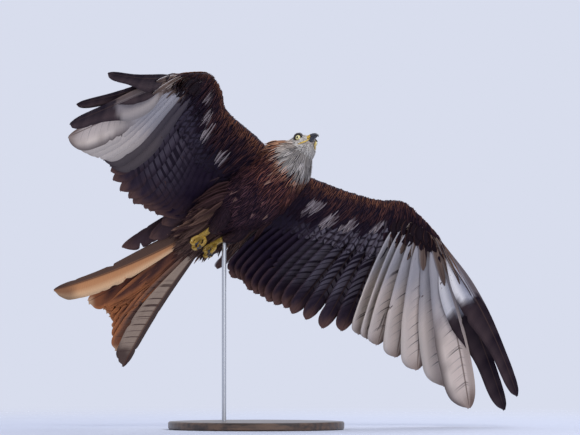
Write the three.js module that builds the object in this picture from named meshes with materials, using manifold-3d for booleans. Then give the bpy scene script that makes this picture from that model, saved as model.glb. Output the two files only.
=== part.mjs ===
// A red kite in flapping flight, life size, banked on a plain display stand. Millimetres, +Z up.
// The origin is the centre of the underside of the stand's base. The bird is built in its own frame,
// x forward along the body, y to its left and z to its back, and is then turned to its bank.
import * as THREE from "three";
import { mergeVertices } from "three/addons/utils/BufferGeometryUtils.js";
import Module from "manifold-3d";

const wasm = await Module();
wasm.setup();

const gap = 0.3; // clearance between pieces that touch
const fineness = 0.07; // detail smaller than this is smoothed away where solids are joined
const deg = Math.PI / 180;
const vec = (x, y, z) => new THREE.Vector3(x, y, z);

// Driving dimensions
const attitude = { bank: -36.8, noseUp: 36.2, heading: -27.7, bodyHeight: 482 };
const stand = { baseRadius: 180, baseHeight: 16, bevel: 2.5, rodRadius: 4.5, rodX: -66, rodY: 42, rodTop: 428, foot: 11 };
const trunk = { tailEnd: -128, neckEnd: 122, sides: 20, neckCut: 88 };
const headSize = { x: 142, y: -7, z: 10, turn: -15, nod: -14, length: 68, halfWidth: 25, halfHeight: 25 };
const eye = { radius: 6.4, forward: 13, side: 20.8, up: 7.5 };
const bill = { base: 27, tip: 61, halfWidth: 9.5, top: 8, low: -5.5, hook: 12 };
const vane = { thickness: 0.8, shingle: 9, covertLift: 8 };
const counts = { primaries: 10, secondaries: 12, armCoverts: 8, handCoverts: 6 };
const tailSize = { rootX: -150, rootZ: 8, rootHalf: 13, twist: 29, longest: 341, middle: 275 };

// Leading edges of the wings: span place (1 elbow, 2 wrist, 3 fingertip), forward, outward, up, chord, thickness.
// The right hand hangs below the left one.
const leadingEdges = {
  left: [
    [0, 88, 36, 18, 128, 34],
    [0.4, 100, 98, 20, 118, 26],
    [1, 116, 179, 30, 98, 19],
    [1.5, 134, 237, 36, 82, 16],
    [2, 159, 287, 44, 62, 14],
    [2.35, 163, 327, 27, 44, 10],
    [3, 156, 388, 4, 16, 5],
  ],
  right: [
    [0, 88, 36, 18, 128, 34],
    [0.4, 98, 98, 19, 118, 26],
    [1, 104, 187, 28, 98, 19],
    [1.5, 133, 234, 31, 82, 16],
    [2, 149, 280, 27, 62, 14],
    [2.35, 151, 325, -4, 44, 10],
    [3, 132, 392, -48, 16, 5],
  ],
};

// Feather tips as seen from the wrist: span place, reach, sweep back and droop in degrees, then the share
// of its length by which a feather's middle sags below and swings forward of its straight line
const featherTips = {
  left: [
    [0.1, 396, 118.5, 4, -0.01, 0.01],
    [0.4, 385, 123, 12, -0.015, 0.01],
    [1.5, 318, 104, 22, -0.02, 0.01],
    [1.95, 291, 74, 21, -0.02, 0.01],
    [2.06, 288, 66, 20, -0.02, 0.01],
    [2.25, 312, 56, 16.5, -0.02, 0.015],
    [2.35, 343, 47.7, 15.6, -0.02, 0.015],
    [2.44, 375, 41, 15.4, -0.02, 0.015],
    [2.54, 425, 33, 15.9, -0.02, 0.015],
    [2.63, 470, 28.4, 20, -0.02, 0.015],
    [2.73, 500, 19.6, 20.7, -0.02, 0.015],
    [2.82, 475, 14.1, 24.8, -0.025, 0.035],
    [2.92, 405, 11.9, 19.6, -0.03, 0.085],
  ],
  right: [
    [0.1, 400, 116, 1, -0.01, 0.01],
    [0.4, 384, 123, 1.8, -0.015, 0.01],
    [1.5, 323, 104, 14.5, -0.02, 0.01],
    [1.95, 292, 73.7, 32.5, -0.02, 0.01],
    [2.06, 288, 70.4, 33, -0.015, 0.01],
    [2.25, 318, 52.7, 38.4, -0.01, 0.01],
    [2.35, 350, 45, 39.8, 0, 0.01],
    [2.44, 380, 38.7, 40.9, 0.01, 0.01],
    [2.54, 428, 30.2, 42.7, 0.02, 0.01],
    [2.63, 473, 24.5, 43.1, 0.025, 0.01],
    [2.73, 500, 17, 43, 0.025, 0.01],
    [2.82, 475, 13.5, 40.5, 0.035, 0],
    [2.92, 405, 2.5, 37.9, 0.06, -0.01],
  ],
};
// Loose inner feathers by the body: root forward, outward, up, then the tip
const tertials = {
  left: [[[-25, 74, 14], [-202, 98, 24]], [[-12, 92, 14], [-184, 124, 14]]],
  right: [[[-30, 66, 14], [-292, 89, 34]], [[-22, 76, 14], [-230, 73, 25]], [[-14, 88, 14], [-186, 82, 18]]],
};

// Solids, joins and cuts

// A closed three.js geometry as a solid, its faces turned out
function solid(geometry) {
  const bare = geometry.clone();
  bare.deleteAttribute("normal");
  bare.deleteAttribute("uv");
  const merged = mergeVertices(bare, 1e-4);
  const triVerts = new Uint32Array(merged.index.array);
  const vertProperties = new Float32Array(merged.attributes.position.array);
  const made = new wasm.Manifold(new wasm.Mesh({ numProp: 3, vertProperties, triVerts }));
  if (made.volume() > 0) return made;
  for (let i = 0; i < triVerts.length; i += 3) {
    [triVerts[i + 1], triVerts[i + 2]] = [triVerts[i + 2], triVerts[i + 1]];
  }
  return new wasm.Manifold(new wasm.Mesh({ numProp: 3, vertProperties, triVerts }));
}

function largest(body) {
  const bodies = body.decompose();
  return bodies.reduce((a, b) => (b.volume() > a.volume() ? b : a));
}

const join = (pieces) => largest(wasm.Manifold.union(pieces).simplify(fineness));
const cut = (body, ...tools) => largest(tools.reduce((a, tool) => a.subtract(tool), body).simplify(fineness));

function geometryOf(body) {
  const mesh = body.getMesh();
  const position = new Float32Array(mesh.numVert * 3);
  for (let i = 0; i < mesh.numVert; i++) {
    position.set(mesh.vertProperties.subarray(i * mesh.numProp, i * mesh.numProp + 3), i * 3);
  }
  const made = new THREE.BufferGeometry();
  made.setAttribute("position", new THREE.BufferAttribute(position, 3));
  made.setIndex(new THREE.BufferAttribute(mesh.triVerts, 1));
  made.computeVertexNormals();
  return made;
}

// Rings of points with the same count, skinned and closed by a fan at each end
function loft(rings) {
  const n = rings[0].length;
  const points = rings.flat();
  const index = [];
  for (let i = 0; i + 1 < rings.length; i++) {
    for (let j = 0; j < n; j++) {
      const a = i * n + j;
      const b = i * n + ((j + 1) % n);
      index.push(a, b, b + n, a, b + n, a + n);
    }
  }
  const centre = (ring) => ring.reduce((a, p) => a.clone().add(p), vec(0, 0, 0)).divideScalar(n);
  [0, rings.length - 1].forEach((i) => {
    points.push(centre(rings[i]));
    for (let j = 0; j < n; j++) {
      const a = i * n + j;
      const b = i * n + ((j + 1) % n);
      index.push(...(i === 0 ? [b, a] : [a, b]), points.length - 1);
    }
  });
  const made = new THREE.BufferGeometry().setFromPoints(points);
  made.setIndex(index);
  return solid(made);
}

// Smooth reading of a table whose first column is the place
function reader(table) {
  const columns = table[0].length - 1;
  return (place) => {
    let i = 0;
    while (i < table.length - 2 && place > table[i + 1][0]) i++;
    const at = (k) => table[Math.min(Math.max(k, 0), table.length - 1)];
    const [p0, p1, p2, p3] = [at(i - 1), at(i), at(i + 1), at(i + 2)];
    const span = p2[0] - p1[0];
    const t = Math.min(Math.max((place - p1[0]) / span, 0), 1);
    return Array.from({ length: columns }, (_, c) => {
      const slope = (a, b) => (b[0] === a[0] ? 0 : ((b[c + 1] - a[c + 1]) / (b[0] - a[0])) * span);
      const [m1, m2] = [slope(p0, p2), slope(p1, p3)];
      const [t2, t3] = [t * t, t * t * t];
      return (2 * t3 - 3 * t2 + 1) * p1[c + 1] + (t3 - 2 * t2 + t) * m1
        + (3 * t2 - 2 * t3) * p2[c + 1] + (t3 - t2) * m2;
    });
  };
}

// A tapered tube with round ends along a curve: radius(t) is its radius from 0 to 1
function taperedTube(points, radius, steps = 6, sides = 6, flat = 1) {
  const curve = new THREE.CatmullRomCurve3(points);
  const rings = [];
  let side = vec(0, 1, 0);
  for (let i = 0; i <= steps; i++) {
    const t = i / steps;
    const along = curve.getTangent(t);
    side = side.clone().addScaledVector(along, -side.dot(along)).normalize();
    const up = along.clone().cross(side);
    rings.push(Array.from({ length: sides }, (_, k) => {
      const a = (k / sides) * 2 * Math.PI;
      return curve.getPoint(t)
        .addScaledVector(side, Math.cos(a) * radius(t))
        .addScaledVector(up, Math.sin(a) * radius(t) * flat);
    }));
  }
  return loft(rings);
}

// Feathers

// Outline of each kind of vane: place along the shaft, then the width ahead of and behind the shaft
const outlines = {
  finger: [[0, 3, 4], [0.3, 10, 30], [0.5, 12, 35], [0.64, 10, 25], [0.9, 8, 18], [1, 2, 3]],
  broad: [[0, 3, 4], [0.22, 12, 22], [0.6, 18, 41], [0.92, 16, 34], [1, 4, 8]],
  covert: [[0, 5, 5], [0.55, 12, 17], [1, 4, 5]],
  tail: [[0, 3, 3], [0.25, 10, 16], [0.6, 14, 28], [0.93, 13, 26], [1, 4, 9]],
  outerTail: [[0, 4, 4], [0.2, 8, 15], [0.6, 9, 31], [0.92, 8, 26], [1, 2, 5]],
  alula: [[0, 3, 3], [0.4, 6, 11], [0.8, 5, 9], [1, 1.5, 2]],
};

// The middle line of a feather at t from root to tip. Its middle sags by bow and swings forward by sabre.
function shaftPoint({ root, tip, lead, up, bow = 0, sabre = 0 }, t) {
  const length = root.distanceTo(tip);
  return root.clone().lerp(tip, t)
    .addScaledVector(up, 4 * bow * length * (t * t - t))
    .addScaledVector(lead, 4 * sabre * length * (t - t * t));
}

// A feather's own directions: lead across it to its front edge, up to its back
function featherFrame(feather, across, back) {
  const along = feather.tip.clone().sub(feather.root).normalize();
  const lead = across.clone().addScaledVector(along, -across.dot(along)).normalize();
  const up = back.clone().addScaledVector(along, -back.dot(along));
  return { ...feather, lead, up: up.addScaledVector(lead, -up.dot(lead)).normalize() };
}

// A thin plate along a feather's middle line, its front edge tilted up so that neighbours pass over each other
function vaneSolid(feather, outline, width = 1, grow = 0, inner = width) {
  const tilt = vane.shingle * deg;
  const edge = feather.lead.clone().multiplyScalar(Math.cos(tilt)).addScaledVector(feather.up, Math.sin(tilt));
  const rows = outline.map(([t, ahead, behind]) => {
    const end = (t === 1 ? grow : 0) / feather.root.distanceTo(feather.tip);
    const middle = shaftPoint(feather, t + end);
    return [ahead * width + grow, -behind * inner - grow].flatMap((offset) => [0.5, -0.5].map((face) => {
      const out = face * (vane.thickness + 2 * grow);
      return middle.clone().addScaledVector(edge, offset).addScaledVector(feather.up, out);
    }));
  });
  const index = [];
  const quad = (a, b, c, d) => index.push(a, b, c, a, c, d);
  const last = (rows.length - 1) * 4;
  for (let k = 0; k < last; k += 4) {
    quad(k, k + 2, k + 6, k + 4);
    quad(k + 1, k + 5, k + 7, k + 3);
    quad(k, k + 4, k + 5, k + 1);
    quad(k + 2, k + 3, k + 7, k + 6);
  }
  quad(0, 1, 3, 2);
  quad(last, last + 2, last + 3, last + 1);
  const made = new THREE.BufferGeometry().setFromPoints(rows.flat());
  made.setIndex(index);
  return solid(made);
}

// The wing

// Everything that one wing's pieces are placed by. side is 1 on the bird's left and -1 on its right.
function wingPlan(side) {
  const name = side > 0 ? "left" : "right";
  const edge = reader(leadingEdges[name]);
  const tips = reader(featherTips[name]);
  const place = (x, y, z) => vec(x, side * y, z);
  const leadAt = (s) => place(...edge(s).slice(0, 3));
  const wrist = place(149, 290, 38);
  const tipAt = (s) => {
    const [reach, sweep, droop] = tips(s);
    const level = reach * Math.cos(droop * deg);
    const offset = place(-level * Math.sin(sweep * deg), level * Math.cos(sweep * deg), -reach * Math.sin(droop * deg));
    return wrist.clone().add(offset);
  };
  const chordAt = (s) => tipAt(Math.min(Math.max(s, 0.4), 2.92)).sub(leadAt(s)).normalize();
  const rootAt = (s, share) => leadAt(s).addScaledVector(chordAt(s), share * edge(s)[3]);
  // Outward along the sheet of feathers, and the sheet's own direction to the bird's back
  const acrossAt = (s, t = 0.6) => {
    const point = (u) => rootAt(u, 0.6).lerp(tipAt(u), t);
    return point(s + 0.06).sub(point(s - 0.06)).normalize();
  };
  const backAt = (s) => acrossAt(s).cross(chordAt(s)).multiplyScalar(side).normalize();
  return { side, name, place, edge, tips, leadAt, tipAt, chordAt, rootAt, acrossAt, backAt };
}

// The fleshy part of the wing with its small coverts: a thick leading edge that thins to the rear
function wingCore(plan, from, to, grow = 0) {
  const profile = [[0, 0], [0.06, 0.32], [0.28, 0.5], [0.65, 0.34], [1, 0.07], [1, -0.07], [0.65, -0.3], [0.28, -0.42], [0.06, -0.28]];
  const rings = [];
  const steps = Math.max(5, Math.round((to - from) * 6));
  for (let i = 0; i <= steps; i++) {
    const s = from + ((to - from) * i) / steps;
    const [chord, thick] = plan.edge(s).slice(3);
    const along = plan.chordAt(s);
    const up = plan.backAt(s);
    rings.push(profile.map(([c, h]) => plan.leadAt(s)
      .addScaledVector(along, c * chord + Math.sign(c - 0.5) * grow)
      .addScaledVector(up, h * thick + Math.sign(h) * grow)));
  }
  return loft(rings);
}

// One flight feather, by its place along the span
function flightFeather(plan, s) {
  const feather = { root: plan.rootAt(s, 0.5), tip: plan.tipAt(s) };
  return { ...featherFrame(feather, plan.acrossAt(s), plan.backAt(s)), bow: plan.tips(s)[3], sabre: plan.tips(s)[4] };
}

const flightOutline = (s) => (s > 2.68 ? outlines.finger : outlines.broad);
const flightWidth = (s) => (s > 2.68 && s < 2.78 ? 1.25 : 0.95);
const flightSolid = (plan, s, grow) => vaneSolid(flightFeather(plan, s), flightOutline(s), flightWidth(s), grow);

// One greater covert, over (face 1) or under (face -1) the flight feather at the same place
function covertSolid(plan, s, face, grow) {
  const flight = flightFeather(plan, s);
  const chord = plan.edge(s)[3];
  const root = plan.rootAt(s, 0.7).addScaledVector(flight.up, face * (1 + chord * 0.014));
  const tip = shaftPoint(flight, s > 2.3 ? 0.3 : 0.4).addScaledVector(flight.up, face * vane.covertLift);
  const covert = featherFrame({ root, tip }, plan.acrossAt(s), plan.backAt(s));
  return vaneSolid(covert, outlines.covert, s > 2.45 ? 0.95 : 1.35, grow);
}

// The bastard wing: three small stiff feathers at the wrist, along the leading edge
function alulaSolids(plan) {
  return [0, 1, 2].map((i) => {
    const root = plan.rootAt(2.14 + i * 0.03, 0.2).addScaledVector(plan.backAt(2.2), 1.5);
    const tip = plan.rootAt(2.52 - i * 0.06, 0.7 + 0.25 * i).addScaledVector(plan.backAt(2.5), 6.5 - 2 * i);
    return vaneSolid(featherFrame({ root, tip, bow: -0.03 }, plan.chordAt(2.3).negate(), plan.backAt(2.3)), outlines.alula);
  });
}

function spread(from, to, count) {
  return Array.from({ length: count }, (_, i) => from + ((to - from) * i) / Math.max(count - 1, 1));
}

function wingPieces(side) {
  const plan = wingPlan(side);
  const split = 1.995;
  const secondaryPlaces = spread(0.5, 1.93, counts.secondaries);
  const primaryPlaces = spread(2.06, 2.92, counts.primaries);
  const armCoverts = spread(0.36, 1.86, counts.armCoverts);
  const handCoverts = spread(2.1, 2.84, counts.handCoverts);
  const loose = tertials[plan.name].map(([root, tip]) => {
    const feather = { root: plan.place(...root), tip: plan.place(...tip), bow: -0.015, sabre: 0.015 };
    return featherFrame(feather, plan.acrossAt(0.3), plan.backAt(0.3));
  });
  const hand = join([
    wingCore(plan, split + 0.004, 3),
    ...primaryPlaces.map((s) => flightSolid(plan, s)),
    ...handCoverts.flatMap((s) => [covertSolid(plan, s, 1), covertSolid(plan, s, -1)]),
    ...alulaSolids(plan),
  ]);
  const arm = join([
    wingCore(plan, 0, split),
    ...secondaryPlaces.map((s) => flightSolid(plan, s)),
    ...armCoverts.flatMap((s) => [covertSolid(plan, s, 1), covertSolid(plan, s, -1)]),
    ...loose.map((feather) => vaneSolid(feather, outlines.broad, 0.7)),
  ]);
  const clear = [
    wingCore(plan, split, 2.4, gap),
    ...primaryPlaces.slice(0, 3).map((s) => flightSolid(plan, s, gap)),
    ...handCoverts.slice(0, 3).flatMap((s) => [covertSolid(plan, s, 1, gap), covertSolid(plan, s, -1, gap)]),
  ];
  return { [`wing_${plan.name}_arm`]: cut(arm, ...clear), [`wing_${plan.name}_hand`]: hand };
}

// The trunk

// Half width, height above and depth below the middle line, and the line itself: x, y, z
const trunkTable = [
  [-168, 0, 8, 9, 7, 7],
  [-150, 0, 8, 20, 12, 13],
  [-120, 0, 6, 34, 23, 27],
  [-85, 0, 2, 46, 33, 40],
  [-40, 0, -2, 58, 42, 53],
  [10, 0, -2, 64, 47, 60],
  [52, -1, 1, 60, 46, 58],
  [84, -1, 5, 56, 44, 53],
  [108, 0, 8, 50, 39, 49],
  [118, -2, 8, 44, 33, 43],
  [128, -4, 8, 36, 27, 36],
];
const trunkAt = reader(trunkTable);

function trunkLoft(from, to, grow = 0, steps = 18) {
  const rings = [];
  for (let i = 0; i <= steps; i++) {
    const x = from + ((to - from) * i) / steps;
    const [y, z, wide, above, below] = trunkAt(x);
    rings.push(Array.from({ length: trunk.sides }, (_, k) => {
      const a = (k / trunk.sides) * 2 * Math.PI;
      const high = Math.sin(a) > 0 ? above : below;
      return vec(x, y + Math.cos(a) * (wide + grow), z + Math.sin(a) * (high + grow));
    }));
  }
  return loft(rings);
}

// The head and what it carries, in the head's own frame: x to the bill, y left, z to the crown
const headFrame = new THREE.Matrix4().compose(
  vec(headSize.x, headSize.y, headSize.z),
  new THREE.Quaternion().setFromEuler(new THREE.Euler(0, -headSize.nod * deg, headSize.turn * deg, "ZYX")),
  vec(1, 1, 1),
);
const onHead = (body) => body.transform(headFrame.toArray());

// Head outline from nape to face: x, middle height, half width, height above and below
const headTable = [
  [-30, -4, 30.5, 24.5, 33],
  [-20, -3, 31, 26.5, 33],
  [-6, 0, 29, 26, 31],
  [8, 1, 25.2, 22.3, 25.8],
  [18, 0.5, 20, 17.3, 20],
  [26, 0, 13.5, 11.2, 12.8],
  [30, -0.5, 10.2, 8.5, 9],
];

function headSolid(grow = 0) {
  const at = reader(headTable);
  const rings = [];
  for (let i = 0; i <= 14; i++) {
    const x = headTable[0][0] + (60 * i) / 14;
    const [z, wide, above, below] = at(x);
    rings.push(Array.from({ length: 20 }, (_, k) => {
      const a = (k / 20) * 2 * Math.PI;
      const high = Math.sin(a) > 0 ? above : below;
      return vec(x, Math.cos(a) * (wide + grow), z + Math.sin(a) * (high + grow));
    }));
  }
  return loft(rings);
}

function billUpper(from, to, grow = 0) {
  const rings = [];
  const steps = 7;
  for (let i = 0; i <= steps; i++) {
    const place = from + ((to - from) * i) / steps;
    const t = Math.max(place, 0);
    const x = bill.base + (bill.tip - bill.base) * (1 - (1 - t) ** 1.15) - Math.max(t - 0.85, 0) * 14 - Math.max(-place, 0) * 30;
    const wide = bill.halfWidth * (1 - 0.9 * t ** 1.4) + grow;
    const top = bill.top - (bill.top + bill.hook - 2) * t ** 2.6 + grow;
    const low = -1.2 - (bill.hook - 0.5) * t ** 3.2 - grow;
    const middle = (top + low) / 2;
    rings.push([[1, 0], [0.92, 0.45], [0.5, 0.88], [0, 1], [-0.5, 0.88], [-0.92, 0.45], [-1, 0], [-0.8, -1], [0, -0.9], [0.8, -1]]
      .map(([c, h]) => vec(x, c * wide, middle + h * (top - middle))));
  }
  return loft(rings);
}

function billLower(grow = 0) {
  const rings = [];
  const steps = 5;
  for (let i = 0; i <= steps; i++) {
    const t = i / steps;
    const x = bill.base - 4 + (bill.tip - bill.base - 6) * t;
    const wide = (bill.halfWidth - 1.4) * (1 - 0.75 * t ** 1.5) + grow;
    const top = -1.2 - gap - 1.2 * t ** 2 + grow;
    const low = bill.low - 2 + 3.4 * t - grow;
    rings.push([[1, 1], [0, 1], [-1, 1], [-0.8, 0.2], [-0.4, -0.7], [0, -1], [0.4, -0.7], [0.8, 0.2]]
      .map(([c, h]) => vec(x, c * wide, (top + low) / 2 + (h * (top - low)) / 2)));
  }
  return loft(rings);
}

function eyeball(side, radius) {
  const ball = solid(new THREE.SphereGeometry(radius, 12, 8));
  return ball.translate([eye.forward, side * (eye.side - eye.radius * 0.35), eye.up]);
}

// The raised lid: a short ring round the eye, heavier above, as the brow of a bird of prey
function lid(side) {
  const ring = solid(new THREE.TorusGeometry(eye.radius * 0.98, 1.5, 6, 14));
  const brow = taperedTube([vec(-10, 0, 4), vec(-2, 0, 8.4), vec(8, 0, 6.6), vec(15, 0, 1.6)], (t) => 2.8 * Math.sin(Math.PI * (0.12 + 0.76 * t)) + 0.3, 6, 6);
  const turned = ring.rotate([90, 0, 0]).translate([eye.forward, side * (eye.side - 0.9), eye.up]);
  return [turned, brow.translate([eye.forward, side * (eye.side - 2.6), eye.up])];
}

function headPieces() {
  const skull = headSolid();
  const sockets = [1, -1].map((side) => eyeball(side, eye.radius + gap));
  const cereShape = billUpper(0, 0.34);
  const upperShape = billUpper(0.3, 1);
  const mouth = solid(new THREE.BoxGeometry(34, 60, 1.1)).translate([22, 0, -2.6]);
  const chin = solid(new THREE.BoxGeometry(30, 60, 40)).translate([bill.base + 15 + 3, 0, 0]);
  const made = {};
  const nostrils = [1, -1].map((side) => solid(new THREE.SphereGeometry(1.7, 8, 6)).scale([1.5, 1, 1]).translate([bill.base + 5.5, side * 8.2, 4.1]));
  made.head = cut(join([skull, ...lid(1), ...lid(-1)]), ...sockets, mouth, chin, billUpper(-0.02, 0.4, gap), billLower(gap));
  made.cere = cut(billUpper(0, 0.3), ...nostrils);
  made.bill_upper = upperShape.trimByPlane([1, 0, 0], bill.base + (bill.tip - bill.base) * (1 - 0.7 ** 1.15) + gap);
  made.bill_lower = cut(billLower(), billUpper(0, 1, gap));
  [1, -1].forEach((side) => {
    made[side > 0 ? "eye_left" : "eye_right"] = eyeball(side, eye.radius);
  });
  return Object.fromEntries(Object.entries(made).map(([name, body]) => [name, onHead(body)]));
}

// The tail: six feathers a side, the middle ones shortest and on top. On the right the outermost stands apart.
function tailPieces() {
  const twist = tailSize.twist * deg;
  const across = vec(0, Math.cos(twist), -Math.sin(twist));
  const up = vec(0, Math.sin(twist), Math.cos(twist));
  const spreads = {
    1: { inner: 2.5, fifth: 11.4, outer: 15.6, rise: 1.6 },
    [-1]: { inner: 1.5, fifth: 7, outer: 16.5, rise: 7 },
  };
  const feathers = [1, -1].flatMap((side) => spread(0, 1, 6).map((share, k) => {
    const { inner, fifth, outer, rise } = spreads[side];
    const angle = (k === 5 ? outer : inner + ((fifth - inner) * share) / 0.8) * deg;
    const length = tailSize.middle + (tailSize.longest - tailSize.middle) * share ** rise;
    const root = vec(tailSize.rootX, 0, tailSize.rootZ)
      .addScaledVector(across, side * tailSize.rootHalf * (0.1 + 0.9 * share))
      .addScaledVector(up, -1.5 * k - (side > 0 ? 0 : 0.75));
    const reach = vec(-Math.cos(angle), 0, 0).addScaledVector(across, side * Math.sin(angle));
    const feather = { root, tip: root.clone().addScaledVector(reach, length), bow: 0.005, sabre: -0.03 * share };
    const outline = k === 5 ? outlines.outerTail : outlines.tail;
    const outerVane = k === 0 ? 1.6 : 0.95; // the middle pair is wide outward and all keep off the middle line
    const innerVane = [0.1, 0.35, 0.7, 0.95, 0.95, 0.95][k];
    return vaneSolid(featherFrame(feather, across.clone().multiplyScalar(side), up), outline, outerVane, 0, innerVane);
  }));
  const core = taperedTube([vec(-122, 0, 7), vec(-150, 0, 7), vec(-182, 0, 7)], (t) => 27 - 12 * t, 4, 12, 0.62);
  const twisted = core.translate([0, 0, -7]).rotate([-tailSize.twist, 0, 0]).translate([0, 0, 7]);
  return { tail: join([twisted.trimByPlane([-1, 0, 0], -trunk.tailEnd + gap), ...feathers]) };
}

// Legs and feet

const foot = { tarsus: 5.2, toe: 4.1, claw: 2.6 };
const legShift = { x: 10, y: -7, z: 8 };

function legPieces(side) {
  const name = side > 0 ? "left" : "right";
  const at = (x, y, z) => vec(x + legShift.x, side * y + legShift.y, z + legShift.z);
  const thigh = taperedTube([at(-60, 30, -40), at(-84, 27, -50), at(-106, 22, -50), at(-121, 19, -44)],
    (t) => 21 * (1 - 0.62 * t), 5, 10);
  const ankle = at(-122, 19, -40.6);
  const ball = at(-151, 17, -35);
  const tarsus = taperedTube([ankle, at(-136, 18, -37.4), ball], (t) => foot.tarsus + 2.4 * Math.abs(t - 0.4), 4, 8);
  const toes = [
    [at(-150, 17, -35), at(-163, 27, -36), at(-170, 27, -46), at(-163, 24, -53)],
    [at(-151, 17, -36), at(-168, 18, -38), at(-176, 17, -50), at(-166, 16, -58)],
    [at(-150, 16, -36), at(-162, 9, -38), at(-168, 9, -47), at(-160, 10, -53)],
    [at(-147, 17, -38), at(-143, 15, -50), at(-149, 14, -57), at(-156, 14, -56)],
  ];
  const clawEnds = [
    [at(-157, 23, -54), at(-153, 22.5, -50)],
    [at(-158, 15.6, -59), at(-153, 15.4, -54)],
    [at(-154, 10.6, -52.5), at(-151.5, 11, -48)],
    [at(-160.5, 13.6, -52.5), at(-160, 13.4, -47.5)],
  ];
  const toeSolids = (grow) => toes.map((points) => taperedTube(points, (t) => foot.toe * (1 - 0.3 * t) + grow, 5, 6));
  const clawSolid = (i, grow) => taperedTube([toes[i][3], ...clawEnds[i]], (t) => foot.claw * (1 - 0.82 * t) + grow, 4, 6);
  const body = join([tarsus, ...toeSolids(0)]);
  const claws = toes.map((_, i) => {
    const before = toes.slice(0, i).map((_, k) => clawSolid(k, gap));
    return cut(clawSolid(i, 0), ...toeSolids(gap), ...before);
  });
  const made = {};
  made[`foot_${name}`] = body;
  claws.forEach((claw, i) => {
    made[`claw_${name}_${i + 1}`] = claw;
  });
  made[`thigh_${name}`] = thigh;
  return made;
}

// The stand: a round base and one steel rod that ends in a socket in the rear of the body

function rodSolid(grow = 0) {
  const low = stand.baseHeight - stand.foot + gap - grow;
  const rod = solid(new THREE.CylinderGeometry(stand.rodRadius + grow, stand.rodRadius + grow, stand.rodTop - low + grow, 24));
  return rod.rotate([90, 0, 0]).translate([stand.rodX, stand.rodY, (stand.rodTop + low + grow) / 2]);
}

function baseSolid() {
  const { baseRadius: r, baseHeight: h, bevel } = stand;
  const profile = [[0, 0], [r - bevel, 0], [r, bevel], [r, h - bevel], [r - bevel, h], [0, h]];
  const disc = solid(new THREE.LatheGeometry(profile.map(([x, y]) => new THREE.Vector2(x, y)), 64));
  return cut(disc.rotate([90, 0, 0]), rodSolid(gap));
}

// Putting the bird together

const bird = new THREE.Group();
bird.position.set(0, 0, attitude.bodyHeight);
bird.rotation.set(attitude.bank * deg, -attitude.noseUp * deg, attitude.heading * deg, "ZYX");
bird.updateMatrix();

const inBird = (body) => body.transform(bird.matrix.clone().invert().toArray());
const behind = (body, x) => body.trimByPlane([-1, 0, 0], -x + gap / 2);
const ahead = (body, x) => body.trimByPlane([1, 0, 0], x + gap / 2);

function birdPieces() {
  const trunkWhole = trunkLoft(trunk.tailEnd, trunk.neckEnd);
  const trunkGrown = trunkLoft(trunk.tailEnd - 1, trunk.neckEnd, gap);
  const made = { ...headPieces(), ...tailPieces() };
  made.neck = cut(ahead(trunkWhole, trunk.neckCut), onHead(headSolid(gap)));
  made.torso = cut(behind(trunkWhole, trunk.neckCut), inBird(rodSolid(gap)));
  [1, -1].forEach((side) => {
    const attached = { ...wingPieces(side), ...legPieces(side) };
    Object.entries(attached).forEach(([name, body]) => {
      made[name] = /^(wing|thigh)/.test(name) ? cut(body, trunkGrown) : body;
    });
  });
  return made;
}

const finish = {
  plumage: { color: 0x5a3522, roughness: 0.85, metalness: 0 },
  head: { color: 0xb9b2a8, roughness: 0.85, metalness: 0 },
  tail: { color: 0xa8643c, roughness: 0.8, metalness: 0 },
  horn: { color: 0x23242a, roughness: 0.4, metalness: 0 },
  yellow: { color: 0xd8b23a, roughness: 0.55, metalness: 0 },
  eye: { color: 0xe8dfae, roughness: 0.1, metalness: 0 },
  stand: { color: 0x2b2b2d, roughness: 0.5, metalness: 0.6 },
};
const finishOf = (name) => {
  if (/^(head|neck)/.test(name)) return "head";
  if (/^tail/.test(name)) return "tail";
  if (/^(bill|claw)/.test(name)) return "horn";
  if (/^(cere|foot)/.test(name)) return "yellow";
  if (/^eye/.test(name)) return "eye";
  return /^stand/.test(name) ? "stand" : "plumage";
};
const meshOf = (name, body) => {
  const mesh = new THREE.Mesh(geometryOf(body), new THREE.MeshStandardMaterial(finish[finishOf(name)]));
  mesh.name = name;
  return mesh;
};

Object.entries(birdPieces()).forEach(([name, body]) => bird.add(meshOf(name, body)));

const model = new THREE.Group();
model.add(bird, meshOf("stand_base", baseSolid()), meshOf("stand_rod", rodSolid()));

export default model;
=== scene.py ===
import math

import bpy
import numpy as np
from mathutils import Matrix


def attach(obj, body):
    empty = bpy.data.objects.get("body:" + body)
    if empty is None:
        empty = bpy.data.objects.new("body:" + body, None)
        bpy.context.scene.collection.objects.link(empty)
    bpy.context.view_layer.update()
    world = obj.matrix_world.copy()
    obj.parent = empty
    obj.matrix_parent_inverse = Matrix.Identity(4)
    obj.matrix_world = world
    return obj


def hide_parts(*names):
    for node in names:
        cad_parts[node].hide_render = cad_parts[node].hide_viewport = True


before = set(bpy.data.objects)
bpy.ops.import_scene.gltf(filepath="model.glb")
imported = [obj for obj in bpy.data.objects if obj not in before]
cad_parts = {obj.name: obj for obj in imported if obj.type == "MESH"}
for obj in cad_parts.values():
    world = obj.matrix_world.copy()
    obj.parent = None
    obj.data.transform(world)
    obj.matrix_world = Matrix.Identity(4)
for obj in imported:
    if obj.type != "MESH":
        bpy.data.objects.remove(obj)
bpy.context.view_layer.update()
draw = np.random.default_rng(11)
sides = {1: "left", -1: "right"}

# the bird's own frame, in mm: x forward along the body, y to its left, z to its back

pose = dict(bank=-36.8, noseUp=36.2, heading=-27.7, bodyHeight=0.482)


def turn(axis, degrees):
    # rotation matrix about one axis
    c, s = math.cos(math.radians(degrees)), math.sin(math.radians(degrees))
    i, j = {"x": (1, 2), "y": (2, 0), "z": (0, 1)}[axis]
    made = np.eye(3)
    made[i, i] = made[j, j] = c
    made[i, j], made[j, i] = -s, s
    return made


birdTurn = turn("z", pose["heading"]) @ turn("y", -pose["noseUp"]) @ turn("x", pose["bank"])
bodySpot = np.array([0, 0, pose["bodyHeight"]])


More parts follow.
